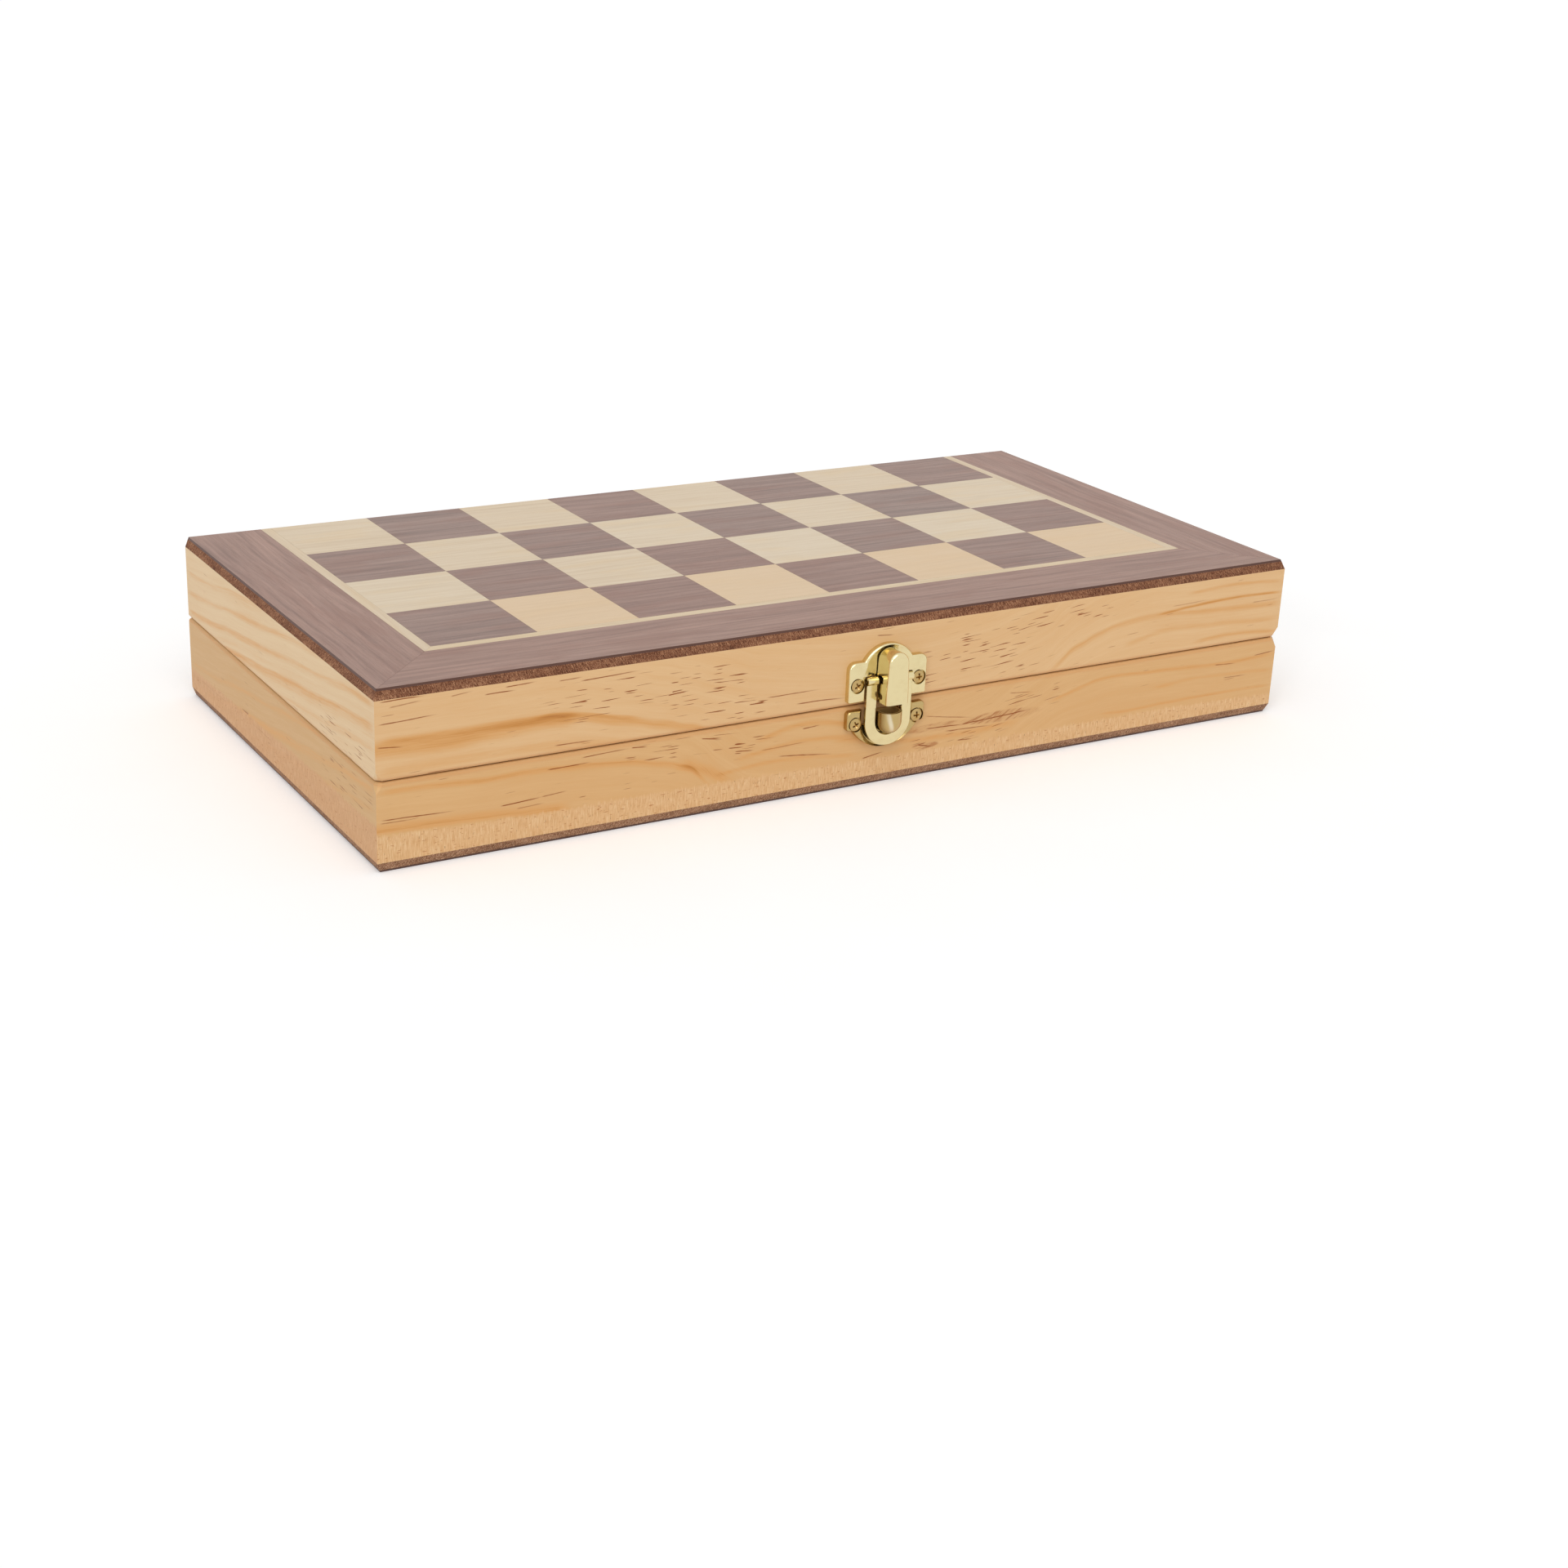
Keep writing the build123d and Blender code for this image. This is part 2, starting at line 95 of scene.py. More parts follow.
class Signal:
    """A shader socket that can stand in sums and products with numbers and other signals."""

    def __init__(self, graph: "Graph", socket: bpy.types.NodeSocket) -> None:
        """Wraps one output socket of a graph."""
        self.graph = graph
        self.socket = socket

    def math(self, operation: str, *others: "Signal | float") -> "Signal":
        """Result of a Math node on this signal and up to two others."""
        values = dict(enumerate((self, *others)))
        return self.graph.node("ShaderNodeMath", {"operation": operation}, values)

    def other(self, name: str) -> "Signal":
        """Another output of the same node."""
        return Signal(self.graph, self.socket.node.outputs[name])

    def __add__(self, other: "Signal | float") -> "Signal":
        """Sum."""
        return self.math("ADD", other)

    __radd__ = __add__

    def __sub__(self, other: "Signal | float") -> "Signal":
        """Difference."""
        return self.math("SUBTRACT", other)

    def __rsub__(self, other: float) -> "Signal":
        """Difference from a number."""
        return (self * -1.0) + other

    def __mul__(self, other: "Signal | float") -> "Signal":
        """Product."""
        return self.math("MULTIPLY", other)

    __rmul__ = __mul__

    def __truediv__(self, other: float) -> "Signal":
        """Quotient by a number."""
        return self.math("DIVIDE", other)

    def __abs__(self) -> "Signal":
        """Absolute value."""
        return self.math("ABSOLUTE")

    def floor(self) -> "Signal":
        """Whole part, rounded down."""
        return self.math("FLOOR")

    def limit(self) -> "Signal":
        """Kept between 0 and 1."""
        return self.graph.node("ShaderNodeClamp", {}, {"Value": self})

    def rise(self, low: float, high: float) -> "Signal":
        """Smooth step between two values of the signal.

        Args:
            low: Value where the result is 0.
            high: Value where it is 1; it may lie under low, and then the result falls.

        Returns:
            The step.
        """
        ends = (0.0, 1.0) if low < high else (1.0, 0.0)
        low, high = min(low, high), max(low, high)
        settings = {"interpolation_type": "SMOOTHSTEP"}
        values = {"Value": self, "From Min": low, "From Max": high, "To Min": ends[0], "To Max": ends[1]}
        return self.graph.node("ShaderNodeMapRange", settings, values)


class Graph:
    """The node tree of one material or of the world."""

    def __init__(self, owner: bpy.types.Material | bpy.types.World) -> None:
        """Empties the owner's tree.

        Args:
            owner: The material or the world that gets the new tree.
        """
        owner.use_nodes = True
        self.owner = owner
        self.tree = owner.node_tree
        self.tree.nodes.clear()

    @classmethod
    def material(cls, name: str) -> "Graph":
        """Starts a new material."""
        return cls(bpy.data.materials.new(name))

    def node(self, kind: str, settings: dict, values: dict, output: int | str = 0) -> Signal:
        """Adds a node.

        Args:
            kind: Blender's type name of the node.
            settings: Properties set before anything is linked; for a ramp, "stops" are its stops and
                "between" is the way it goes from stop to stop.
            values: A number, a tuple or a Signal for each input socket, by name or index.
            output: The output that is returned.

        Returns:
            The node's output as a Signal.
        """
        made = self.tree.nodes.new(kind)
        for key, value in settings.items():
            if key == "stops":
                self.set_stops(made.color_ramp, value)
            elif key == "between":
                made.color_ramp.interpolation = value
            else:
                setattr(made, key, value)
        for key, value in values.items():
            if isinstance(value, Signal):
                self.tree.links.new(value.socket, made.inputs[key])
            else:
                made.inputs[key].default_value = value
        return Signal(self, made.outputs[output])

    @staticmethod
    def set_stops(ramp: bpy.types.ColorRamp, stops: list[tuple]) -> None:
        """Sets a ramp's stops.

        Args:
            ramp: A new ramp, which has two stops.
            stops: Its (position, colour or grey level) pairs from left to right.
        """
        for _ in stops[2:]:
            ramp.elements.new(0.5)
        for element, (position, colour) in zip(ramp.elements, stops):
            element.color = colour if isinstance(colour, tuple) else (colour, colour, colour, 1.0)
        for index, (position, _) in enumerate(stops):
            ramp.elements[index].position = position

    def place(self) -> Signal:
        """Object coordinates in millimetres, as a vector."""
        at = self.node("ShaderNodeTexCoord", {}, {}, "Object")
        return self.node("ShaderNodeVectorMath", {"operation": "SCALE"}, {0: at, "Scale": 1 / MM})

    def level(self) -> Signal:
        """1 where the surface lies flat, 0 where it stands upright."""
        return abs(self.parts(self.node("ShaderNodeTexCoord", {}, {}, "Normal"))["Z"])

    def parts(self, vector: Signal) -> dict[str, Signal]:
        """The three numbers of a vector, by axis."""
        x = self.node("ShaderNodeSeparateXYZ", {}, {0: vector})
        return {"X": x, "Y": x.other("Y"), "Z": x.other("Z")}

    def vector(self, x: Signal | float, y: Signal | float, z: Signal | float = 0.0) -> Signal:
        """A vector from three numbers."""
        return self.node("ShaderNodeCombineXYZ", {}, {0: x, 1: y, 2: z})

    def noise(self, vector: Signal, detail: float = 2.0, rough: float = 0.5, scale: float = 1.0) -> Signal:
        """Noise from 0 to 1 round 0.5, with features about one unit of the vector wide."""
        values = {"Vector": vector, "Scale": scale, "Detail": detail, "Roughness": rough}
        return self.node("ShaderNodeTexNoise", {}, values)

    def chance(self, vector: Signal, output: str = "Value") -> Signal:
        """A random number, or colour, for each value of the vector."""
        return self.node("ShaderNodeTexWhiteNoise", {}, {"Vector": vector}, output)

    def ramp(self, factor: Signal, stops: list[tuple], between: str = "LINEAR") -> Signal:
        """Colour or grey level from a ramp."""
        return self.node("ShaderNodeValToRGB", {"stops": stops, "between": between}, {0: factor})

    def blend(self, low: Signal | tuple, high: Signal | tuple, factor: Signal | float) -> Signal:
        """Mixes two colours."""
        return self.node("ShaderNodeMix", {"data_type": "RGBA"}, {0: factor, 6: low, 7: high}, 2)

    def bump(self, height: Signal, depth: float, strength: float) -> Signal:
        """Normal of a surface whose height, from 0 to 1, is worth depth in metres."""
        return self.node("ShaderNodeBump", {}, {"Height": height, "Distance": depth, "Strength": strength})

    def finish(self, fixed: dict, varied: dict) -> bpy.types.Material:
        """Adds the surface shader and the output.

        Args:
            fixed: Numbers and colours of the shader's own sockets.
            varied: Signals for sockets that vary over the surface.

        Returns:
            The finished material.
        """
        self.show(self.node("ShaderNodeBsdfPrincipled", {}, {**fixed, **varied}), "ShaderNodeOutputMaterial")
        return self.owner

    def show(self, shader: Signal, kind: str) -> None:
        """Links a shader to an output node of that type."""
        output = self.tree.nodes.new(kind)
        self.tree.links.new(shader.socket, output.inputs["Surface"])

    def seen(self) -> Signal:
        """1 where a thing is seen, also in a mirror or through glass, and 0 where it only gives light."""
        path = self.node("ShaderNodeLightPath", {}, {}, "Is Camera Ray")
        return (path + path.other("Is Glossy Ray") + path.other("Is Transmission Ray")).limit()


@dataclass(frozen=True)
class Streak:
    """A thin dark line in a wall, between two points (mm along the wall, mm above the parting line)."""

    start: tuple[float, float]
    end: tuple[float, float]
    strength: float = 0.8
    width: float = 0.21


@dataclass(frozen=True)
class Band:
    """A soft band along a smooth curve of (mm along the wall, mm above the parting line) points.

    It fades out over `above` mm over the curve and `below` mm under it.
    """

    points: tuple[tuple[float, float], ...]
    above: float
    below: float
    tone: float


@dataclass(frozen=True)
class Patch:
    """An oval region of a wall, in mm along the wall and above the parting line."""

    along: float
    up: float
    half_length: float
    half_height: float
    strength: float = 1.0


@dataclass(frozen=True)
class PineWall:
    """Finish of one pine wall.

    Its fibres follow the curve `flow`, and bands, streaks, resin dashes and dark figures lie where
    the fields say. `sawn_top` is the curve above which the wall is planed; below it it is rough-sawn.
    `reach` is the greatest height of a curve above or below the parting line.
    """

    name: str
    grain: Grain
    flow: tuple[tuple[float, float], ...]
    bands: tuple[Band, ...] = ()
    streaks: tuple[Streak, ...] = ()
    dashes: tuple[Patch, ...] = ()
    figures: tuple[Patch, ...] = ()
    sawn_top: tuple[tuple[float, float], ...] = ()
    pale: str = "DEB482"
    cream: str = "E6C496"
    rings: tuple[tuple[float, str], ...] = ((0.45, "D8A265"), (0.68, "C88A46"), (1.0, "A4632A"))
    figure_colour: str = "A05A28"
    streak_colour: str = "883E04"
    # Colour of the painted bounce light on the walls beside the parting gap.
    rim_warm: str = "C0712F"
    # Colour of the painted shade at the parting gap.
    rim_dark: str = "8A4A1C"
    foot_dark: str = "CB9863"
    foot: str = "DEB382"
    foot_light: str = "E9C99C"
    speck_colour: str = "B06A30"
    tick_colour: str = "6E3A18"
    reach: float = 30.0
    seed: float = 0.0

    def build(self) -> bpy.types.Material:
        """Makes the material.

        Returns:
            The finished material.
        """
        g = Graph.material(self.name)
        axes = g.parts(g.place())
        along, across = axes[self.grain.value[0]], axes[self.grain.value[1]]
        up = axes["Z"] - PARTING
        drift = g.noise(g.vector(along / 22.0, up / 7.0, self.seed), 2.0, 0.5) - 0.5
        height = up + drift * 0.9
        ring = height - self.curve(g, along, self.flow) + across * 0.4
        upright = g.level().rise(0.85, 0.4)
        fibre = g.noise(g.vector(along / 14.0, ring / 0.5, across / 3.0 + self.seed), 3.0, 0.6) - 0.5
        hair = g.noise(g.vector(along / 5.0, ring / 0.15, across + self.seed), 2.0, 0.6) - 0.5
        broad = g.noise(g.vector(along / 60.0, ring / 2.6, self.seed + 4.0), 2.0, 0.5) - 0.5
        cloud = g.noise(g.vector(along / 34.0, up / 12.0, self.seed + 9.0), 2.0, 0.5) - 0.5
        tone = 0.20 + fibre * 0.13 + hair * 0.13 + broad * 0.22 + cloud * 0.12
        for band in self.bands:
            tone = tone + self.band_mask(g, along, height, band) * (fibre * 0.7 + hair * 0.5 + 1.0) * upright
        figure = 0.0 * along
        for patch in self.figures:
            swirl = g.noise(g.vector(along / 8.0, ring / 0.9, self.seed + 3.0), 4.0, 0.65)
            figure = figure + self.oval(along, up, patch) * (swirl.rise(0.46, 0.60) * 0.75 + 0.15)
        stops = ((0.0, self.cream), (0.22, self.pale), *self.rings)
        colour = g.ramp(tone.limit(), [(at, paint(code)) for at, code in stops])
        colour = g.blend(colour, paint(self.figure_colour), figure.limit() * 0.75)
        dark = (self.streak_mask(g, along, height) + self.dash_mask(g, along, up, ring)).limit() * upright
        # Painted bounce light: a warm glow on the upright walls near the parting gap.
        colour = g.blend(colour, paint(self.rim_warm), abs(up).rise(1.6, 0.3) * upright * 0.35)
        # Painted shade: the upright walls darken right at the parting gap.
        colour = g.blend(colour, paint(self.rim_dark), abs(up).rise(0.6, 0.2) * upright * 0.75)
        colour = g.blend(colour, paint(self.streak_colour), dark * 0.92)
        relief = fibre * 0.3 + hair * 0.3 - dark * 0.6
        if self.sawn_top:
            colour, relief = self.sawn(g, along, up, colour, relief)
        rough, normal = 0.52 + fibre * 0.12, g.bump(relief, 0.00006, 0.6)
        fixed = {"Specular IOR Level": 0.25, "Coat Roughness": 0.35, "Coat Weight": 0.06}
        return g.finish(fixed, {"Base Color": colour, "Roughness": rough, "Normal": normal})

    def curve(self, g: Graph, along: Signal, points: tuple[tuple[float, float], ...]) -> Signal:
        """Height of a smooth curve over the wall.

        Args:
            g: The material's tree.
            along: Place along the wall in mm.
            points: The (along, height) points in mm that the curve goes through.

        Returns:
            The curve's height at each place, in mm.
        """
        first, last = points[0][0], points[-1][0]
        stops = [((x - first) / (last - first), (z + self.reach) / (2 * self.reach)) for x, z in points]
        level = g.ramp((along - first) / (last - first), stops, "CARDINAL")
        return level * (2 * self.reach) - self.reach

    def band_mask(self, g: Graph, along: Signal, height: Signal, band: Band) -> Signal:
        """Strength of a band, which also fades at its two ends.

        Args:
            g: The material's tree.
            along: Place along the wall in mm.
            height: Place above the parting line in mm.
            band: The band.

        Returns:
            What the band adds to the wall's tone.
        """
        over = height - self.curve(g, along, band.points)
        first, last = band.points[0][0], band.points[-1][0]
        ends = along.rise(first - 1.0, first + 5.0) * along.rise(last + 1.0, last - 5.0)
        return over.rise(band.above, 0.0) * over.rise(-band.below, 0.0) * ends * band.tone

    def streak_mask(self, g: Graph, along: Signal, height: Signal) -> Signal:
        """Strength of all the streaks.

        Args:
            g: The material's tree.
            along: Place along the wall in mm.
            height: Place above the parting line in mm.

        Returns:
            How dark the streaks are at each place.
        """
        rough = g.noise(g.vector(along / 2.4, height / 1.5, self.seed + 1.0), 1.0, 0.5)
        total = 0.0 * along
        for streak in self.streaks:
            (x0, z0), (x1, z1) = streak.start, streak.end
            part = (along - x0) / (x1 - x0)
            off = abs(height - z0 - part * (z1 - z0)) / streak.width
            total = total + off.rise(1.0, 0.3) * part.rise(0.0, 0.12) * part.rise(1.0, 0.6) * streak.strength
        return total * (rough * 1.3 + 0.5)

    def dash_mask(self, g: Graph, along: Signal, up: Signal, ring: Signal) -> Signal:
        """Strength of the short resin dashes: sparse everywhere, dense in the patches.

        Args:
            g: The material's tree.
            along: Place along the wall in mm.
            up: Place above the parting line in mm.
            ring: Distance from the curve that the fibres follow, in mm.

        Returns:
            How dark the dashes are at each place.
        """
        lean = up * 0.85 + ring * 0.15 - along * 0.05
        spots = g.noise(g.vector(along / 6.6, lean / 0.36, self.seed + 7.0), 0.0, 0.5)
        dense = spots.rise(0.69, 0.75)
        total = spots.rise(0.80, 0.86) * 0.5
        for patch in self.dashes:
            total = total + dense * self.oval(along, up, patch)
        return total

    @staticmethod
    def oval(along: Signal, up: Signal, patch: Patch) -> Signal:
        """Mask of an oval patch.

        Args:
            along: Place along the wall in mm.
            up: Place above the parting line in mm.
            patch: The patch.

        Returns:
            The patch's strength in its middle, fading to 0 at its rim.
        """
        x = (along - patch.along) / patch.half_length
        z = (up - patch.up) / patch.half_height
        return (x * x + z * z).rise(1.0, 0.5) * patch.strength

    def sawn(
        self, g: Graph, along: Signal, up: Signal, colour: Signal, relief: Signal,
    ) -> tuple[Signal, Signal]:
        """Rough-sawn foot of the wall: upright hairlines with a ragged upper end, and small dark specks.

        Args:
            g: The material's tree.
            along: Place along the wall in mm.
            up: Place above the parting line in mm.
            colour: Colour of the planed wall.
            relief: Relief of the planed wall.

        Returns:
            The colour and the relief of the whole wall.
        """
        lines = g.noise(g.vector(along / 0.30, up / 3.2, self.seed), 3.0, 0.7)
        ragged = g.noise(g.vector(along / 0.9, up / 9.0, self.seed + 6.0), 3.0, 0.7)
        foot = self.curve(g, along, self.sawn_top) - up + (ragged - 0.5) * 3.6
        zone = foot.rise(-0.5, 0.5)
        specks = g.noise(g.vector(along / 1.7, up / 0.5, self.seed + 2.0), 1.0, 0.5).rise(0.655, 0.72)
        ticks = g.noise(g.vector(along / 0.3, up / 1.3, self.seed + 8.0), 1.0, 0.5).rise(0.70, 0.76)
        stops = ((0.30, self.foot_dark), (0.50, self.foot), (0.68, self.foot_light))
        hairs = g.ramp(lines, [(at, paint(code)) for at, code in stops])
        hairs = g.blend(hairs, paint(self.speck_colour), specks * 0.75)
        hairs = g.blend(hairs, paint(self.tick_colour), ticks * 0.7)
        return g.blend(colour, hairs, zone * 0.85), relief * (1.0 - zone) + zone * lines


@dataclass(frozen=True)
class Veneer:
    """Finish of sliced veneer laid as squares or strips.

    `tints` are the light, middle and dark colours of the figure, `edge` the colour of a cut edge.
    Every cell of `cell` mm, counted from `cell_start` mm left of the middle, is a piece of its own.
    """

    name: str
    grain: Grain
    tints: tuple[str, str, str]
    edge: str
    other_tint: str
    pores: float
    cell: float = 30.0
    seed: float = 0.0
    cell_start: float = 0.0
    warm_tint: str = "8A5F4E"
    warmth: float = 0.35
    front_tint: str = ""

    def build(self) -> bpy.types.Material:
        """Makes the material.

        Returns:
            The finished material.
        """
        g = Graph.material(self.name)
        axes = g.parts(g.place())
        along, across = axes[self.grain.value[0]], axes[self.grain.value[1]]
        cell_x = ((axes["X"] + self.cell_start) / self.cell).floor()
        cell_y = ((axes["Y"] - self.cell * 0.43) / self.cell).floor()
        luck = g.chance(g.vector(cell_x, cell_y, axes["Z"].rise(20.0, 28.0) + self.seed))
        shift = luck * 37.0 + self.seed
        wave = g.noise(g.vector(along / 60.0, across / 14.0, shift), 1.0, 0.5) - 0.5
        streak = g.noise(g.vector(along / 42.0, (across + wave * 5.0) / 1.5, shift), 4.0, 0.62)
        fine = g.noise(g.vector(along / 7.0, across / 0.22, shift), 2.0, 0.5)
        pore = g.noise(g.vector(along / 1.9, across / 0.12, shift), 1.0, 0.5).rise(0.66, 0.76)
        light, middle, dark = (paint(t) for t in self.tints)
        figure = (streak - 0.5) * (luck * 0.9 + 0.55) + 0.5
        colour = g.ramp(figure, [(0.30, dark), (0.48, middle), (0.70, light)])
        colour = g.blend(colour, paint(self.other_tint), luck * 0.7)
        warm = g.noise(g.vector(along / 26.0, across / 6.0, shift + 3.0), 2.0, 0.5).rise(0.48, 0.68)
        colour = g.blend(colour, paint(self.warm_tint), warm * self.warmth)
        if self.front_tint:
            colour = g.blend(colour, paint(self.front_tint), axes["Y"].rise(-17.0, -17.2) * 0.6)
        colour = g.blend(colour, dark, (fine - 0.5).limit() * 1.1)
        colour = g.blend(colour, paint(self.edge), pore * self.pores)
        colour = g.blend(colour, paint(self.edge), g.level().rise(0.90, 0.6) * 0.9)
        rough = 0.42 + fine * 0.14
        normal = g.bump(fine * 0.6 + pore * -0.8, 0.00003, 0.5)
        fixed = {"Specular IOR Level": 0.4, "Coat Weight": 0.12, "Coat Roughness": 0.35}
        return g.finish(fixed, {"Base Color": colour, "Roughness": rough, "Normal": normal})


@dataclass(frozen=True)
class Fibreboard:
    """Finish of the core board: brown pressed fibres, torn upright where the edge was cut."""

    name: str
    tints: tuple[str, str, str, str]
    fleck: str
    flecks: float

    def build(self) -> bpy.types.Material:
        """Makes the material.

        Returns:
            The finished material.
        """
        g = Graph.material(self.name)
        axes = g.parts(g.place())
        run = axes["X"] + axes["Y"] * 0.83
        torn = g.noise(g.vector(run / 0.24, axes["Z"] / 1.2), 3.0, 0.7)
        grit = g.noise(g.vector(axes["X"] / 0.22, axes["Y"] / 0.22, axes["Z"] / 0.22), 2.0, 0.6)
        cloud = g.noise(g.vector(run / 9.0, axes["Z"] / 3.0), 2.0, 0.5)
        tone = torn * 0.5 + grit * 0.35 + cloud * 0.15
        colour = g.ramp(tone, list(zip((0.41, 0.48, 0.53, 0.60), (paint(t) for t in self.tints))))
        fleck = g.noise(g.vector(run / 0.35, axes["Z"] / 0.3, 4.0), 1.0, 0.5).rise(0.62, 0.72)
        colour = g.blend(colour, paint(self.fleck), fleck * self.flecks)
        rough, normal = 0.7 + grit * 0.2, g.bump(tone, 0.00012, 0.8)
        fixed = {"Specular IOR Level": 0.2}
        return g.finish(fixed, {"Base Color": colour, "Roughness": rough, "Normal": normal})


@dataclass(frozen=True)
class Felt:
    """Finish of the tray lining: short matted fibres."""

    name: str = "green_felt"
    light: str = "2F6A43"
    dark: str = "15422A"

    def build(self) -> bpy.types.Material:
        """Makes the material.

        Returns:
            The finished material.
        """
        g = Graph.material(self.name)
        at = g.place()
        tangle = g.noise(at, 4.0, 0.75, 2.6)
        cloud = g.noise(at, 2.0, 0.5, 0.09)
        colour = g.blend(paint(self.dark), paint(self.light), tangle * 0.75 + cloud * 0.25)
        rough, normal = 0.86 + tangle * 0.12, g.bump(tangle, 0.0003, 0.9)
        fixed = {"Sheen Weight": 0.12, "Sheen Roughness": 0.5, "Specular IOR Level": 0.1}
        return g.finish(fixed, {"Base Color": colour, "Roughness": rough, "Normal": normal})


@dataclass(frozen=True)
class PlatedBrass:
    """Finish of thin stamped fittings: bright plating with fine wipe marks and dull pits; a fitting with a
    hook gets painted shade at its rim and in its hollow, and a painted highlight down its nose.

    `nose` is the foremost point of the round hook (mm), where the fitting has one.
    """

    name: str
    colour: str
    dull_colour: str
    rough: float
    nose: tuple[float, float, float] | None = None
    hook_rim: str = "86693A"
    hook_bright: str = "EFE8D0"
    hook_hollow: str = "B08A4C"

    def build(self) -> bpy.types.Material:
        """Makes the material.

        Returns:
            The finished material.
        """
        g = Graph.material(self.name)
        axes = g.parts(g.place())
        x, y, z = axes["X"], axes["Y"], axes["Z"]
        smear = g.noise(g.vector(x / 3.5, y / 3.5, z / 2.2), 3.0, 0.6)
        wipe = g.noise(g.vector(x / 0.12, y / 2.5, z / 1.6), 2.0, 0.6)
        pits = g.noise(g.vector(x / 0.35, y / 0.35, z / 0.35), 1.0, 0.5).rise(0.74, 0.82)
        duller = smear.rise(0.45, 0.8) * 0.14 + pits * 0.2
        colour = g.blend(paint(self.colour), paint(self.dull_colour), duller)
        hollow = 0.0 * smear
        # The hook adds painted shade and a painted highlight to the colour; hollow marks its inside, which is
        # also made rough and barely metallic.
        if self.nose:
            colour, hollow = self.hook(g, axes, colour)
        rough = self.rough + smear.rise(0.5, 0.8) * 0.05 + wipe * 0.05 + pits * 0.12 + hollow * 0.3
        normal = g.bump(smear * 0.8 + wipe * 0.1, 0.00004, 0.3)
        varied = {"Base Color": colour, "Metallic": 1.0 - hollow * 0.75, "Roughness": rough, "Normal": normal}
        return g.finish({}, varied)

    def hook(self, g: Graph, axes: dict[str, Signal], colour: Signal) -> tuple[Signal, Signal]:
        """Paints light and shade on the hook: painted shade towards its rim, a painted highlight down its
        nose and painted shade in its hollow.

        Args:
            g: The material's tree.
            axes: Place on the surface in mm.
            colour: The plating's colour.

        Returns:
            The new colour, and 1 inside the hook's hollow.
        """
        x, front, z = self.nose
        across, up = axes["X"] - x, axes["Z"] - z
        off = (across * across + up * up * up.rise(0.5, -0.5)).math("SQRT")
        on_hook = axes["Y"].rise(front + 4.2, front + 3.5)
        # Painted shade: the dome darkens towards its outline.
        colour = g.blend(colour, paint(self.hook_rim), off.rise(2.2, 3.6) * on_hook * 0.8)
        # Painted highlight: a pale streak down the upper left of the hook's nose.
        highlight_stripe = abs(across + up * 0.3 + 1.3).rise(1.0, 0.2) * off.rise(3.2, 1.2)
        colour = g.blend(colour, paint(self.hook_bright), highlight_stripe * on_hook * 0.65)
        # Painted shade: the inside of the cup is coloured dull brown and made barely metallic.
        deep = (front + 3.4 - axes["Y"]).math("MAXIMUM", 0.0)
        hollow = (off * off / 10.9 + deep * deep / 9.0).rise(1.0, 0.93)
        return g.blend(colour, paint(self.hook_hollow), hollow * 0.9), hollow


def dress(node: str, material: bpy.types.Material) -> None:
    """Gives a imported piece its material.

    Args:
        node: Name of the piece.
        material: Its material, which takes the place of any that it came with.
    """
    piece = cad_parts[node]
    if not piece.material_slots:
        piece.data.materials.append(material)
    for slot in piece.material_slots:
        slot.material = material


def add_mesh(
    name: str, mesh: bmesh.types.BMesh, material: bpy.types.Material, smooth_to: float = 35.0,
) -> bpy.types.Object:
    """Turns a bmesh into a visible piece.

    Args:
        name: Name of the piece.
        mesh: The finished bmesh, which is freed.
        material: Its material.
        smooth_to: Edges sharper than this many degrees stay sharp.

    Returns:
        The new object.
    """
    data = bpy.data.meshes.new(name)
    bmesh.ops.recalc_face_normals(mesh, faces=mesh.faces)
    for edge in mesh.edges:
        edge.smooth = len(edge.link_faces) == 2 and edge.calc_face_angle(0.0) < math.radians(smooth_to)
    for face in mesh.faces:
        face.smooth = True
    mesh.to_mesh(data)
    mesh.free()
    data.materials.append(material)
    piece = bpy.data.objects.new(name, data)
    bpy.context.scene.collection.objects.link(piece)
    return piece


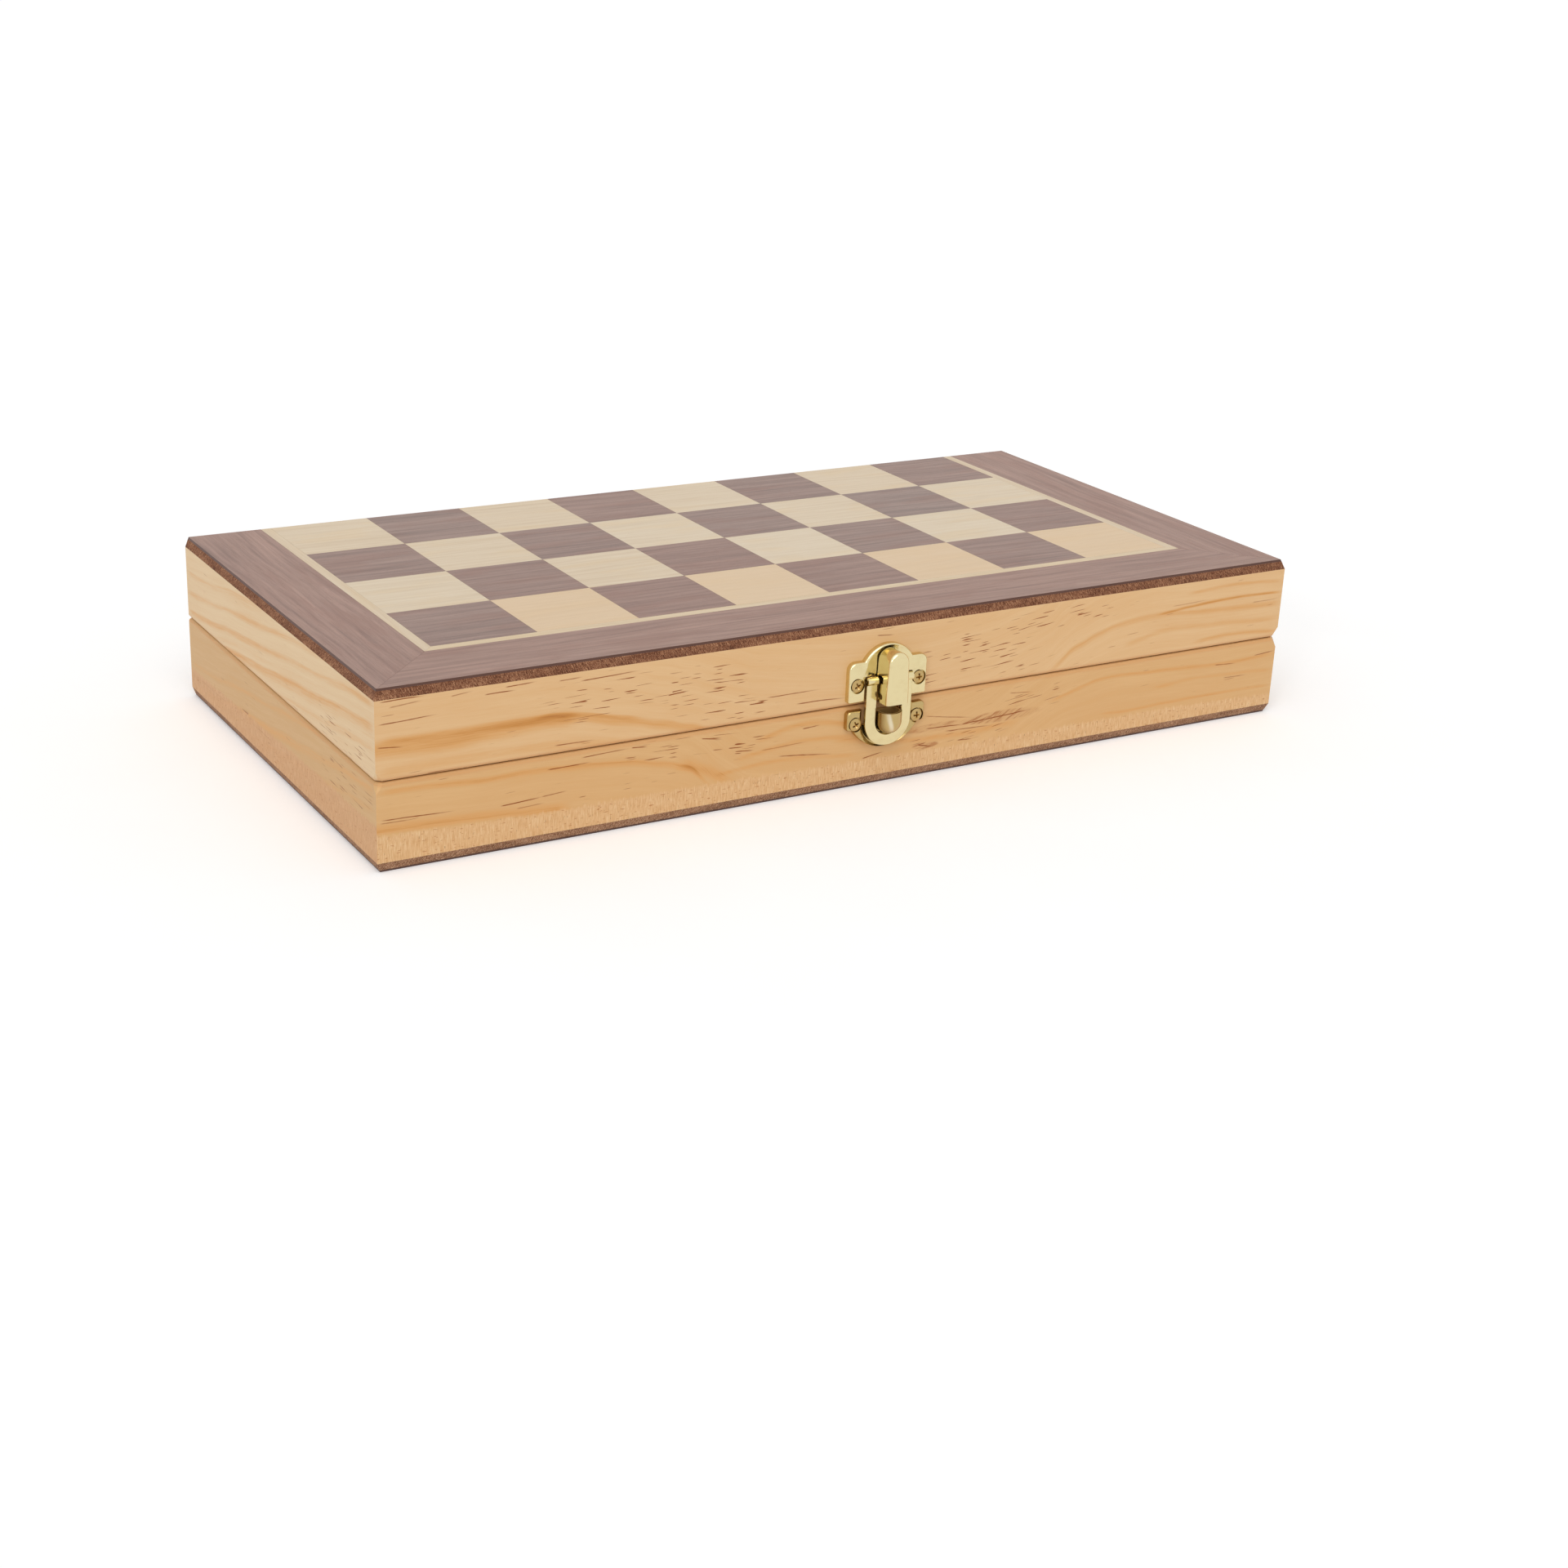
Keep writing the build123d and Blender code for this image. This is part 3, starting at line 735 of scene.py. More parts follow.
@dataclass
class Tray:
    """One pine tray: four walls and the felt on its floor."""

    half: Half
    walls: dict[str, PineWall]
    felt: bpy.types.Material
    felt_step: float = 2.0 * MM
    felt_round: float = 0.35 * MM
    felt_nap: float = 0.06 * MM

    def build(self) -> list[str]:
        """Dresses the walls and lays the felt.

        Returns:
            The names of the pieces that were dressed or made.
        """
        made = []
        for side, finish in self.walls.items():
            dress(self.half.node(f"{side}_wall"), finish.build())
            made.append(self.half.node(f"{side}_wall"))
        made.append(self.lay_felt().name)
        return made

    def lay_felt(self) -> bpy.types.Object:
        """Makes the felt sheet with a softly napped face and rolled edges.

        Returns:
            The sheet.
        """
        low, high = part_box(self.half.node("felt_lining"))
        width, length = high.x - low.x, high.y - low.y
        open_z = low.z if self.half is Half.UPPER else high.z
        glued_z = high.z if self.half is Half.UPPER else low.z
        columns, rows = round(width / self.felt_step), round(length / self.felt_step)
        mesh = bmesh.new()
        face = []
        for j in range(rows + 1):
            for i in range(columns + 1):
                x, y = low.x + width * i / columns, low.y + length * j / rows
                border = min(i, j, columns - i, rows - j) == 0
                nap = self.felt_nap * (math.sin(i * 12.9898 + j * 78.233) * 0.5 + 0.5)
                sunk = self.felt_round if border else nap
                face.append(mesh.verts.new((x, y, open_z + self.half.up * sunk)))
        for j in range(rows):
            for i in range(columns):
                a = j * (columns + 1) + i
                mesh.faces.new((face[a], face[a + 1], face[a + columns + 2], face[a + columns + 1]))
        rim = [e for e in mesh.edges if e.is_boundary]
        skirt = bmesh.ops.extrude_edge_only(mesh, edges=rim)["geom"]
        lower_ring = [v for v in skirt if isinstance(v, bmesh.types.BMVert)]
        for vert in lower_ring:
            vert.co.z = glued_z
        bmesh.ops.contextual_create(mesh, geom=[e for e in mesh.edges if e.is_boundary])
        piece = add_mesh(self.half.node("felt_sheet"), mesh, self.felt, 60.0)
        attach(piece, f"{self.half.value[0]}_half")
        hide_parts(self.half.node("felt_lining"))
        self.half.node("panel_core")
        return piece


@dataclass
class PlayingPanel:
    """One half of the playing surface: core board, squares, stringing and border strips."""

    half: Half
    core: bpy.types.Material
    dark_squares: bpy.types.Material
    light_squares: bpy.types.Material
    stringing: dict[Grain, bpy.types.Material]
    border: dict[Grain, bpy.types.Material]

    def build(self) -> list[str]:
        """Dresses every piece of the panel.

        Returns:
            The names of the pieces.
        """
        finishes = {
            "panel_core": self.core, "dark_squares": self.dark_squares, "light_squares": self.light_squares,
        }
        for side, grain in (("front", Grain.ALONG_X), ("left", Grain.ALONG_Y), ("right", Grain.ALONG_Y)):
            finishes[f"stringing_{side}"] = self.stringing[grain]
            finishes[f"border_{side}"] = self.border[grain]
        for name, material in finishes.items():
            dress(self.half.node(name), material)
        return [self.half.node(name) for name in finishes]


@dataclass
class HingePair:
    """The two butt hinges behind the box. The sizes in mm place their screws."""

    plating: bpy.types.Material
    spacing: float = 170.0
    screw_spacing: float = 18.0
    screw_y: float = 67.9
    rim_gap: float = 0.3

    def build(self) -> list[str]:
        """Dresses leaves and pins.

        Returns:
            The names of the pieces.
        """
        parts = ("lower_leaf", "upper_leaf", "pin")
        names = [f"{side}_hinge_{part}" for side in ("left", "right") for part in parts]
        for name in names:
            dress(name, self.plating)
        return names

    def screw_seats(self, half: Half) -> list[tuple[float, float, float]]:
        """Places of the screws in the leaves of one half.

        Args:
            half: The half.

        Returns:
            The (x, y, z) points in mm where the heads' rims meet the leaves.
        """
        height = PARTING + half.up * self.rim_gap / 2
        hinges = (-self.spacing / 2, self.spacing / 2)
        screws = (-self.screw_spacing / 2, self.screw_spacing / 2)
        return [(hinge + screw, self.screw_y, height) for hinge in hinges for screw in screws]


Point = tuple[float, float]


def sweep(middle: Point, radius: float, start: float, end: float, steps: int) -> list[Point]:
    """Points on an arc.

    Args:
        middle: Centre of the arc.
        radius: Its radius.
        start: Angle of the first point in degrees.
        end: Angle of the last point in degrees.
        steps: Number of runs between the points.

    Returns:
        The points, both ends among them.
    """
    angles = [math.radians(start + (end - start) * i / steps) for i in range(steps + 1)]
    return [(middle[0] + radius * math.cos(a), middle[1] + radius * math.sin(a)) for a in angles]


def eased(corners: list[tuple[float, float, float]], steps: int = 6) -> list[Point]:
    """Outline with rounded corners.

    Args:
        corners: The (x, z, radius) corners; one with a radius of 0 stays sharp.
        steps: Number of runs on each rounded corner.

    Returns:
        The outline's points.
    """
    points: list[Point] = []
    for index, (x, z, radius) in enumerate(corners):
        here = Vector((x, z))
        if radius == 0.0:
            points.append((x, z))
            continue
        before = (Vector(corners[index - 1][:2]) - here).normalized()
        after = (Vector(corners[(index + 1) % len(corners)][:2]) - here).normalized()
        half = before.angle(after) / 2
        middle = here + (before + after).normalized() * (radius / math.sin(half))
        first = here + before * (radius / math.tan(half)) - middle
        last = here + after * (radius / math.tan(half)) - middle
        turn = first.angle_signed(last)
        for step in range(steps + 1):
            spun = first.copy()
            spun.rotate(Matrix.Rotation(-turn * step / steps, 2))
            points.append(tuple(middle + spun))
    return points


def inset(outline: list[Point], amount: float) -> list[Point]:
    """Moves an outline inwards.

    Args:
        outline: An anticlockwise outline.
        amount: How far it moves.

    Returns:
        The new outline, with as many points.
    """
    moved = []
    for index, point in enumerate(outline):
        here = Vector(point)
        before = (here - Vector(outline[index - 1])).normalized()
        after = (Vector(outline[(index + 1) % len(outline)]) - here).normalized()
        left = [Vector((-way.y, way.x)) for way in (before, after)]
        moved.append(tuple(here + (left[0] + left[1]) * (amount / (1.0 + left[0].dot(left[1])))))
    return moved


def stack(rings: list[list[tuple[float, float, float]]]) -> bmesh.types.BMesh:
    """Makes a closed solid through rings of points.

    Args:
        rings: The rings from one end to the other, each with as many (x, y, z) points.

    Returns:
        The solid.
    """
    mesh = bmesh.new()
    levels = [[mesh.verts.new(point) for point in ring] for ring in rings]
    for low, high in zip(levels, levels[1:]):
        for i, point in enumerate(low):
            mesh.faces.new((low[i - 1], point, high[i], high[i - 1]))
    mesh.faces.new(levels[0])
    mesh.faces.new(list(reversed(levels[-1])))
    bmesh.ops.recalc_face_normals(mesh, faces=mesh.faces)
    return mesh


def loft(rings: list[list[Point]], outs: list[float]) -> bmesh.types.BMesh:
    """Closed solid through (across, up) outlines, each at its distance out from the wall."""
    return stack([[(x, -out, z) for x, z in ring] for ring, out in zip(rings, outs)])


def pour(source: bmesh.types.BMesh, target: bmesh.types.BMesh) -> None:
    """Adds one mesh to another and frees it.

    Args:
        source: The mesh that is used up.
        target: The mesh that it is added to.
    """
    data = bpy.data.meshes.new("work_mesh")
    source.to_mesh(data)
    source.free()
    target.from_mesh(data)
    bpy.data.meshes.remove(data)


def cut(solid: bmesh.types.BMesh, cutter: bmesh.types.BMesh) -> bmesh.types.BMesh:
    """Takes one closed mesh out of another.

    Args:
        solid: The mesh that is cut, which is used up.
        cutter: The mesh that is taken out of it, which is used up too.

    Returns:
        What is left of the solid.
    """
    pieces = []
    for mesh in (solid, cutter):
        bmesh.ops.recalc_face_normals(mesh, faces=mesh.faces)
        data = bpy.data.meshes.new("work_solid")
        mesh.to_mesh(data)
        mesh.free()
        pieces.append(bpy.data.objects.new("work_solid", data))
        bpy.context.scene.collection.objects.link(pieces[-1])
    body, tool = pieces
    change = body.modifiers.new("cut", "BOOLEAN")
    change.operation, change.solver, change.object = "DIFFERENCE", "EXACT", tool
    shaped = body.evaluated_get(bpy.context.evaluated_depsgraph_get())
    result = bmesh.new()
    result.from_mesh(shaped.to_mesh())
    shaped.to_mesh_clear()
    for piece in pieces:
        data = piece.data
        bpy.data.objects.remove(piece)
        bpy.data.meshes.remove(data)
    return result


def disc(middle: Point, radius: float, sides: int = 40) -> list[Point]:
    """Outline of a circle."""
    return sweep(middle, radius, 0.0, 360.0 * (sides - 1) / sides, sides - 1)


@dataclass
class LatchPlate:
    """A pressed plate of the latch, with rolled edges and sunk seats for its two screws.

    All sizes are in mm: across from the latch's middle, up from the parting plane, out from the wall.
    """

    plating: bpy.types.Material
    node: str = ""
    body: str = ""
    screw_up: float = 0.0
    half_width: float = 12.7
    face: float = 1.9
    floor: float = 1.0
    screw_x: float = 10.0
    seat_r: float = 2.12
    mouth_r: float = 2.24
    hole_r: float = 0.95
    over: float = 1.0

    def build(self) -> list[str]:
        """Makes the plate.

        Returns:
            The name of the piece.
        """
        outline = self.outline()
        rolled = ((0.0, self.face), (0.0, 0.75), (0.09, 0.4), (0.3, 0.12), (0.6, 0.0))
        rings = [inset(outline, amount) for amount, _ in rolled]
        mesh = loft(rings, [self.face - down for _, down in rolled])
        for cutter in self.cutters():
            mesh = cut(mesh, cutter)
        for side in (-self.screw_x, self.screw_x):
            middle = (side, self.screw_up)
            seat, mouth, hole = (disc(middle, radius) for radius in (self.seat_r, self.mouth_r, self.hole_r))
            mesh = cut(mesh, loft([seat, mouth], [self.floor, self.face + 0.2]))
            mesh = cut(mesh, loft([hole, hole], [-self.over, self.floor + 0.5]))
        for extra in self.extras():
            pour(extra, mesh)
        place = Matrix.Scale(MM, 4) @ Matrix.Translation((LATCH_X, FRONT_Y, PARTING))
        bmesh.ops.transform(mesh, matrix=place, verts=mesh.verts)
        piece = add_mesh(f"{self.node}_pressed", mesh, self.plating, 40.0)
        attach(piece, self.body)
        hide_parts(self.node)
        return [piece.name]

    def screw_seats(self) -> list[tuple[float, float, float]]:
        """Places of its two screws.

        Returns:
            The (x, y, z) points in mm where the heads' rims meet the plate.
        """
        sides = (-self.screw_x, self.screw_x)
        return [(LATCH_X + side, FRONT_Y - self.floor, PARTING + self.screw_up) for side in sides]

    def outline(self) -> list[Point]:
        """Anticlockwise outline of the plate."""
        raise NotImplementedError

    def cutters(self) -> list[bmesh.types.BMesh]:
        """Solids that are taken out of the plate."""
        raise NotImplementedError

    def extras(self) -> list[bmesh.types.BMesh]:
        """Solids that stand on the plate."""
        raise NotImplementedError


@dataclass
class BasePlate(LatchPlate):
    """The plate of the lever: two ears and a round top, a dished bed for the lever and two lugs."""

    node: str = "latch_base_plate"
    body: str = "upper_half"
    screw_up: float = 6.3
    low: float = 1.3
    ear_high: float = 12.9
    ear_in: float = 7.8
    ear_round: float = 2.2
    top: float = 17.3
    slot_in: float = 3.9
    slot_high: float = 8.7
    bed_spring: float = 11.0
    lug_in: float = 1.6
    lug_thick: float = 0.9
    lug_r: float = 1.6
    pin_out: float = 3.8
    pin_up: float = 3.0
    pin_r: float = 0.85

    def outline(self) -> list[Point]:
        """Ears below, a round top above.

        Returns:
            The outline's points.
        """
        rise = self.top - self.ear_high
        radius = (self.ear_in**2 + rise**2) / (2 * rise)
        lean = math.degrees(math.asin(self.ear_in / radius))
        crown = sweep((0.0, self.top - radius), radius, 90.0 - lean, 90.0 + lean, 28)
        right = eased([
            (-self.half_width, self.low, 0.7), (self.half_width, self.low, 0.7),
            (self.half_width, self.ear_high, self.ear_round), (self.ear_in + 0.4, self.ear_high, 0.0),
            (-self.ear_in - 0.4, self.ear_high, 0.0), (-self.half_width, self.ear_high, self.ear_round),
        ])
        turn = right.index((self.ear_in + 0.4, self.ear_high))
        return [*right[: turn + 1], *crown, *right[turn + 1:]]

    def cutters(self) -> list[bmesh.types.BMesh]:
        """The dished bed under the lever and the two slots for the loop's arms.

        Returns:
            The solids that are taken out.
        """
        bed = [self.bed(3.95, 16.3), self.bed(4.4, 16.45), self.bed(7.0, 17.0)]
        slots = []
        for side in (-1.0, 1.0):
            ends = sorted((side * self.slot_in, side * self.ear_in))
            corners = [
                (ends[0], self.low - 2.0, 0.0), (ends[1], self.low - 2.0, 0.0),
                (ends[1], self.slot_high, 0.5), (ends[0], self.slot_high, 0.5),
            ]
            slots.append(loft([eased(corners)] * 2, [-self.over, self.face + self.over]))
        return [loft(bed, [self.floor, self.floor + 0.12, self.face + 0.02]), *slots]

    def bed(self, half: float, top: float) -> list[Point]:
        """One level of the dished bed: straight sides with a round end above.

        Args:
            half: Half of its width.
            top: Height of its upper end.

        Returns:
            The outline's points.
        """
        spring = self.bed_spring
        angles = [math.pi * i / 24 for i in range(25)]
        arch = [(half * math.cos(a), spring + (top - spring) * math.sin(a)) for a in angles]
        return [(-half, self.low - 2.0), (half, self.low - 2.0), *arch]

    def extras(self) -> list[bmesh.types.BMesh]:
        """The two lugs, each with its bore for the lever's pin.

        Returns:
            The lugs.
        """
        lugs = []
        cheek = [(0.4, self.pin_up + self.lug_r), (0.4, self.pin_up - self.lug_r)]
        cheek += sweep((self.pin_out, self.pin_up), self.lug_r, -90.0, 90.0, 16)
        bore = disc((self.pin_out, self.pin_up), self.pin_r, 24)
        for start in (-self.lug_in - self.lug_thick, self.lug_in):
            end = start + self.lug_thick
            drill = self.across(bore, start - self.over, end + self.over)
            lugs.append(cut(self.across(cheek, start, end), drill))
        return lugs

    @staticmethod
    def across(outline: list[Point], start: float, end: float) -> bmesh.types.BMesh:
        """Solid of an (out, up) outline that runs across the latch."""
        return stack([[(x, -out, up) for out, up in outline] for x in (start, end)])


@dataclass
class KeeperPlate(LatchPlate):
    """The plate of the hook: two ears over a round foot, a sunk bed for the loop and the round hook.

    The hook's flanks run straight from `hook_root` to `hook_side` out from the wall, and its dome
    from there to `hook_out`.
    """

    node: str = "latch_keeper"
    body: str = "lower_half"
    screw_up: float = -4.9
    high: float = -1.0
    ear_low: float = -6.7
    foot_r: float = 12.5
    foot_middle: float = -0.2
    slot_in: float = 4.5
    slot_out: float = 7.8
    slot_low: float = -5.6
    hook_r: float = 3.7
    hook_up: float = -4.6
    hook_top: float = -1.65
    hook_out: float = 6.4
    hook_side: float = 3.0
    hook_root: float = 0.9
    hook_wall: float = 0.8

    def outline(self) -> list[Point]:
        """Ears above, a round foot below.

        Returns:
            The outline's points.
        """
        half = (self.foot_r**2 - (self.ear_low - self.foot_middle) ** 2) ** 0.5
        lean = math.degrees(math.acos(half / self.foot_r))
        foot = sweep((0.0, self.foot_middle), self.foot_r, 180.0 + lean, 360.0 - lean, 28)
        ears = eased([
            (self.half_width, self.ear_low, 0.9), (self.half_width, self.high, 1.2),
            (-self.half_width, self.high, 1.2), (-self.half_width, self.ear_low, 0.9),
        ])
        return [*foot, *ears]

    def cutters(self) -> list[bmesh.types.BMesh]:
        """The sunk bed round the loop, the notches beside the hook and the gap over it.

        Returns:
            The solids that are taken out.
        """
        bed = [self.bed(7.75), self.bed(7.9), self.bed(8.9)]
        notches = []
        for left, right, low in (
            (-self.slot_out, -self.slot_in, self.slot_low), (self.slot_in, self.slot_out, self.slot_low),
            (-self.slot_in - 0.1, self.slot_in + 0.1, self.hook_top),
        ):
            top = self.high + self.over
            corners = [(left, low), (right, low), (right, top), (left, top)]
            notches.append(loft([corners] * 2, [-self.over, self.face + self.over]))
        return [loft(bed, [self.floor, self.floor + 0.15, self.face + 0.02]), *notches]

    def bed(self, half: float) -> list[Point]:
        """One level of the sunk bed: round below, with straight sides that run out above."""
        return [*sweep((0.0, self.hook_up), half, 180.0, 360.0, 36), (half, 2.0), (-half, 2.0)]

    def extras(self) -> list[bmesh.types.BMesh]:
        """The hook: a round cup with an open top, drawn as an outer and an inner skin.

        Returns:
            The hook.
        """
        mesh = bmesh.new()
        outer = self.skin(mesh, self.hook_r, self.hook_out)
        inner = self.skin(mesh, self.hook_r - self.hook_wall, self.hook_out - self.hook_wall)
        for (a, b), (c, d) in zip(zip(outer, outer[1:]), zip(inner, inner[1:])):
            mesh.faces.new((a, b, d, c))
        bmesh.ops.recalc_face_normals(mesh, faces=mesh.faces)
        return [mesh]

    def skin(self, mesh: bmesh.types.BMesh, radius: float, out: float) -> list[bmesh.types.BMVert]:
        """One skin of the cup.

        Args:
            mesh: The mesh that it is added to.
            radius: Half of the cup's width.
            out: How far the nose stands out from the wall.

        Returns:
            The vertices of its free edge, from the wall at the left over the rim to the wall at the right.
        """
        turns = [math.pi * i / 28 for i in range(14)]
        dome = [(math.cos(a), self.hook_side + (out - self.hook_side) * math.sin(a)) for a in turns]
        profile = [(radius, self.hook_root), *((radius * share, level) for share, level in dome)]
        nose = mesh.verts.new((0.0, -out, self.hook_up))
        fans = []
        for spoke in range(33):
            x, z = math.cos(math.pi + math.pi * spoke / 32), math.sin(math.pi + math.pi * spoke / 32)
            fans.append([mesh.verts.new((r * x, -level, self.hook_up + r * z)) for r, level in profile])
        for near, far in zip(fans, fans[1:]):
            for i in range(len(profile) - 1):
                mesh.faces.new((near[i], near[i + 1], far[i + 1], far[i]))
            mesh.faces.new((near[-1], nose, far[-1]))
        waist = [*fans[0], nose, *reversed(fans[-1])]
        rim = [mesh.verts.new((v.co.x, v.co.y, self.hook_top)) for v in waist]
        for index in range(len(waist) - 1):
            mesh.faces.new((waist[index], rim[index], rim[index + 1], waist[index + 1]))
        return rim


@dataclass
class ToggleLatch:
    """The latch on the front: its moving pieces, whose pins get a near-black finish as painted shade for the
    shaded holes they sit in, and the two pressed plates.
    """

    gold: bpy.types.Material
    pale: bpy.types.Material
    worn: bpy.types.Material

    @property
    def base(self) -> BasePlate:
        """The plate of the lever."""
        return BasePlate(self.gold)

    @property
    def keeper(self) -> KeeperPlate:
        """The plate of the hook."""
        return KeeperPlate(self.pale)

    def build(self) -> list[str]:
        """Dresses the moving pieces and makes the plates.

        Returns:
            The names of the pieces.
        """
        names = [f"latch_{part}" for part in ("lever", "loop", "lever_pin", "loop_pin")]
        for name in names:
            # The pins are painted near-black: painted shade for the shaded holes they sit in.
            dress(name, self.worn if name.endswith("pin") else self.gold)
        return names + self.base.build() + self.keeper.build()


class Head(Enum):
    """Shapes of a wood screw's head."""

    PAN = "pan"
    COUNTERSUNK = "countersunk"


@dataclass
class WoodScrews:
    """The wood screws of one row: cross-recessed heads on threaded, pointed shanks.

    `seats` are the points where the heads' rims meet their plate, `inwards` the way the points face.
    """

    node: str
    body: str
    head: Head
    seats: list[tuple[float, float, float]]
    inwards: tuple[float, float, float]
    plating: bpy.types.Material
    head_r: float
    shank_r: float
    length: float
    head_h: float = 1.1
    recess_arm: float = 1.25
    recess_w: float = 0.6
    recess_deep: float = 0.75
    recess_taper: float = 0.42
    pitch: float = 0.9
    around: int = 40

    def build(self) -> list[str]:
        """Makes one piece for all the screws of the row.

        Returns:
            The name of the piece.
        """
        mesh = bmesh.new()
        for number, seat in enumerate(self.seats):
            single = self.make_one()
            turn = Matrix.Rotation(0.5 + 1.1 * number, 4, "Z")
            stand = Vector(self.inwards).to_track_quat("-Z", "Y").to_matrix().to_4x4()
            bmesh.ops.transform(single, matrix=Matrix.Translation(seat) @ stand @ turn, verts=single.verts)
            bmesh.ops.scale(single, vec=(MM, MM, MM), verts=single.verts)
            pour(single, mesh)
        piece = add_mesh(f"{self.node}_turned", mesh, self.plating, 32.0)
        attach(piece, self.body)
        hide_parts(self.node)
        return [piece.name]

    def make_one(self) -> bmesh.types.BMesh:
        """One screw in mm, its point down and the plate's face at height 0."""
        return cut(self.turn(self.profile()), self.cross())

    def profile(self) -> list[Point]:
        """Outline of the screw from the middle of its head to its point.

        Returns:
            The (radius, height) points.
        """
        r, h = self.head_r, self.head_h
        if self.head is Head.PAN:
            dome = [(r * math.sin(a), h * (0.55 + 0.45 * math.cos(a))) for a in (0.0, 0.35, 0.7, 1.0, 1.25)]
            top = [*dome, (r * 0.99, h * 0.5), (r, h * 0.3), (r * 0.98, 0.0), (self.shank_r, 0.0)]
        else:
            top = [(0.0, 0.0), (r * 0.5, 0.0), (r - 0.06, 0.0), (r, -0.05), (self.shank_r, self.shank_r - r)]
        low = -self.length
        core = self.shank_r * 0.72
        z = -1.6
        thread = [(self.shank_r, z)]
        while z > low + 2.0:
            turns = ((core, 0.3), (core, 0.6), (self.shank_r, 0.85))
            thread += [(radius, z - self.pitch * share) for radius, share in turns]
            z -= self.pitch
        return [*top, *thread, (core * 0.8, low + 1.0), (0.0, low)]

    def turn(self, profile: list[Point]) -> bmesh.types.BMesh:
        """Turns a profile about the upright axis.

        Args:
            profile: Its (radius, height) points; one with a radius of 0 lies on the axis.

        Returns:
            The turned mesh.
        """
        mesh = bmesh.new()
        rings = []
        for radius, height in profile:
            if radius == 0.0:
                rings.append([mesh.verts.new((0.0, 0.0, height))])
                continue
            angles = [2 * math.pi * i / self.around for i in range(self.around)]
            circle = [(radius * math.cos(a), radius * math.sin(a)) for a in angles]
            rings.append([mesh.verts.new((x, y, height)) for x, y in circle])
        for upper, lower in zip(rings, rings[1:]):
            for i in range(self.around):
                steps = ((upper, i), (lower, i), (lower, i + 1), (upper, i + 1))
                corners = [ring[step % len(ring)] for ring, step in steps]
                mesh.faces.new(list(dict.fromkeys(corners)))
        return mesh

    def cross(self) -> bmesh.types.BMesh:
        """Tapered cross-shaped plug that cuts the driver's recess.

        Returns:
            The plug.
        """
        top = self.head_h + 0.2 if self.head is Head.PAN else 0.2
        face = self.head_h if self.head is Head.PAN else 0.0
        arm, half = self.recess_arm, self.recess_w / 2
        corners = [(arm, -half), (arm, half), (half, half)]
        outline = []
        for quarter in range(4):
            c, s = round(math.cos(quarter * math.pi / 2)), round(math.sin(quarter * math.pi / 2))
            outline += [(x * c - y * s, x * s + y * c) for x, y in corners]
        levels = ((top, 1.0), (face - self.recess_deep, self.recess_taper))
        return stack([[(x * scale, y * scale, height) for x, y in outline] for height, scale in levels])


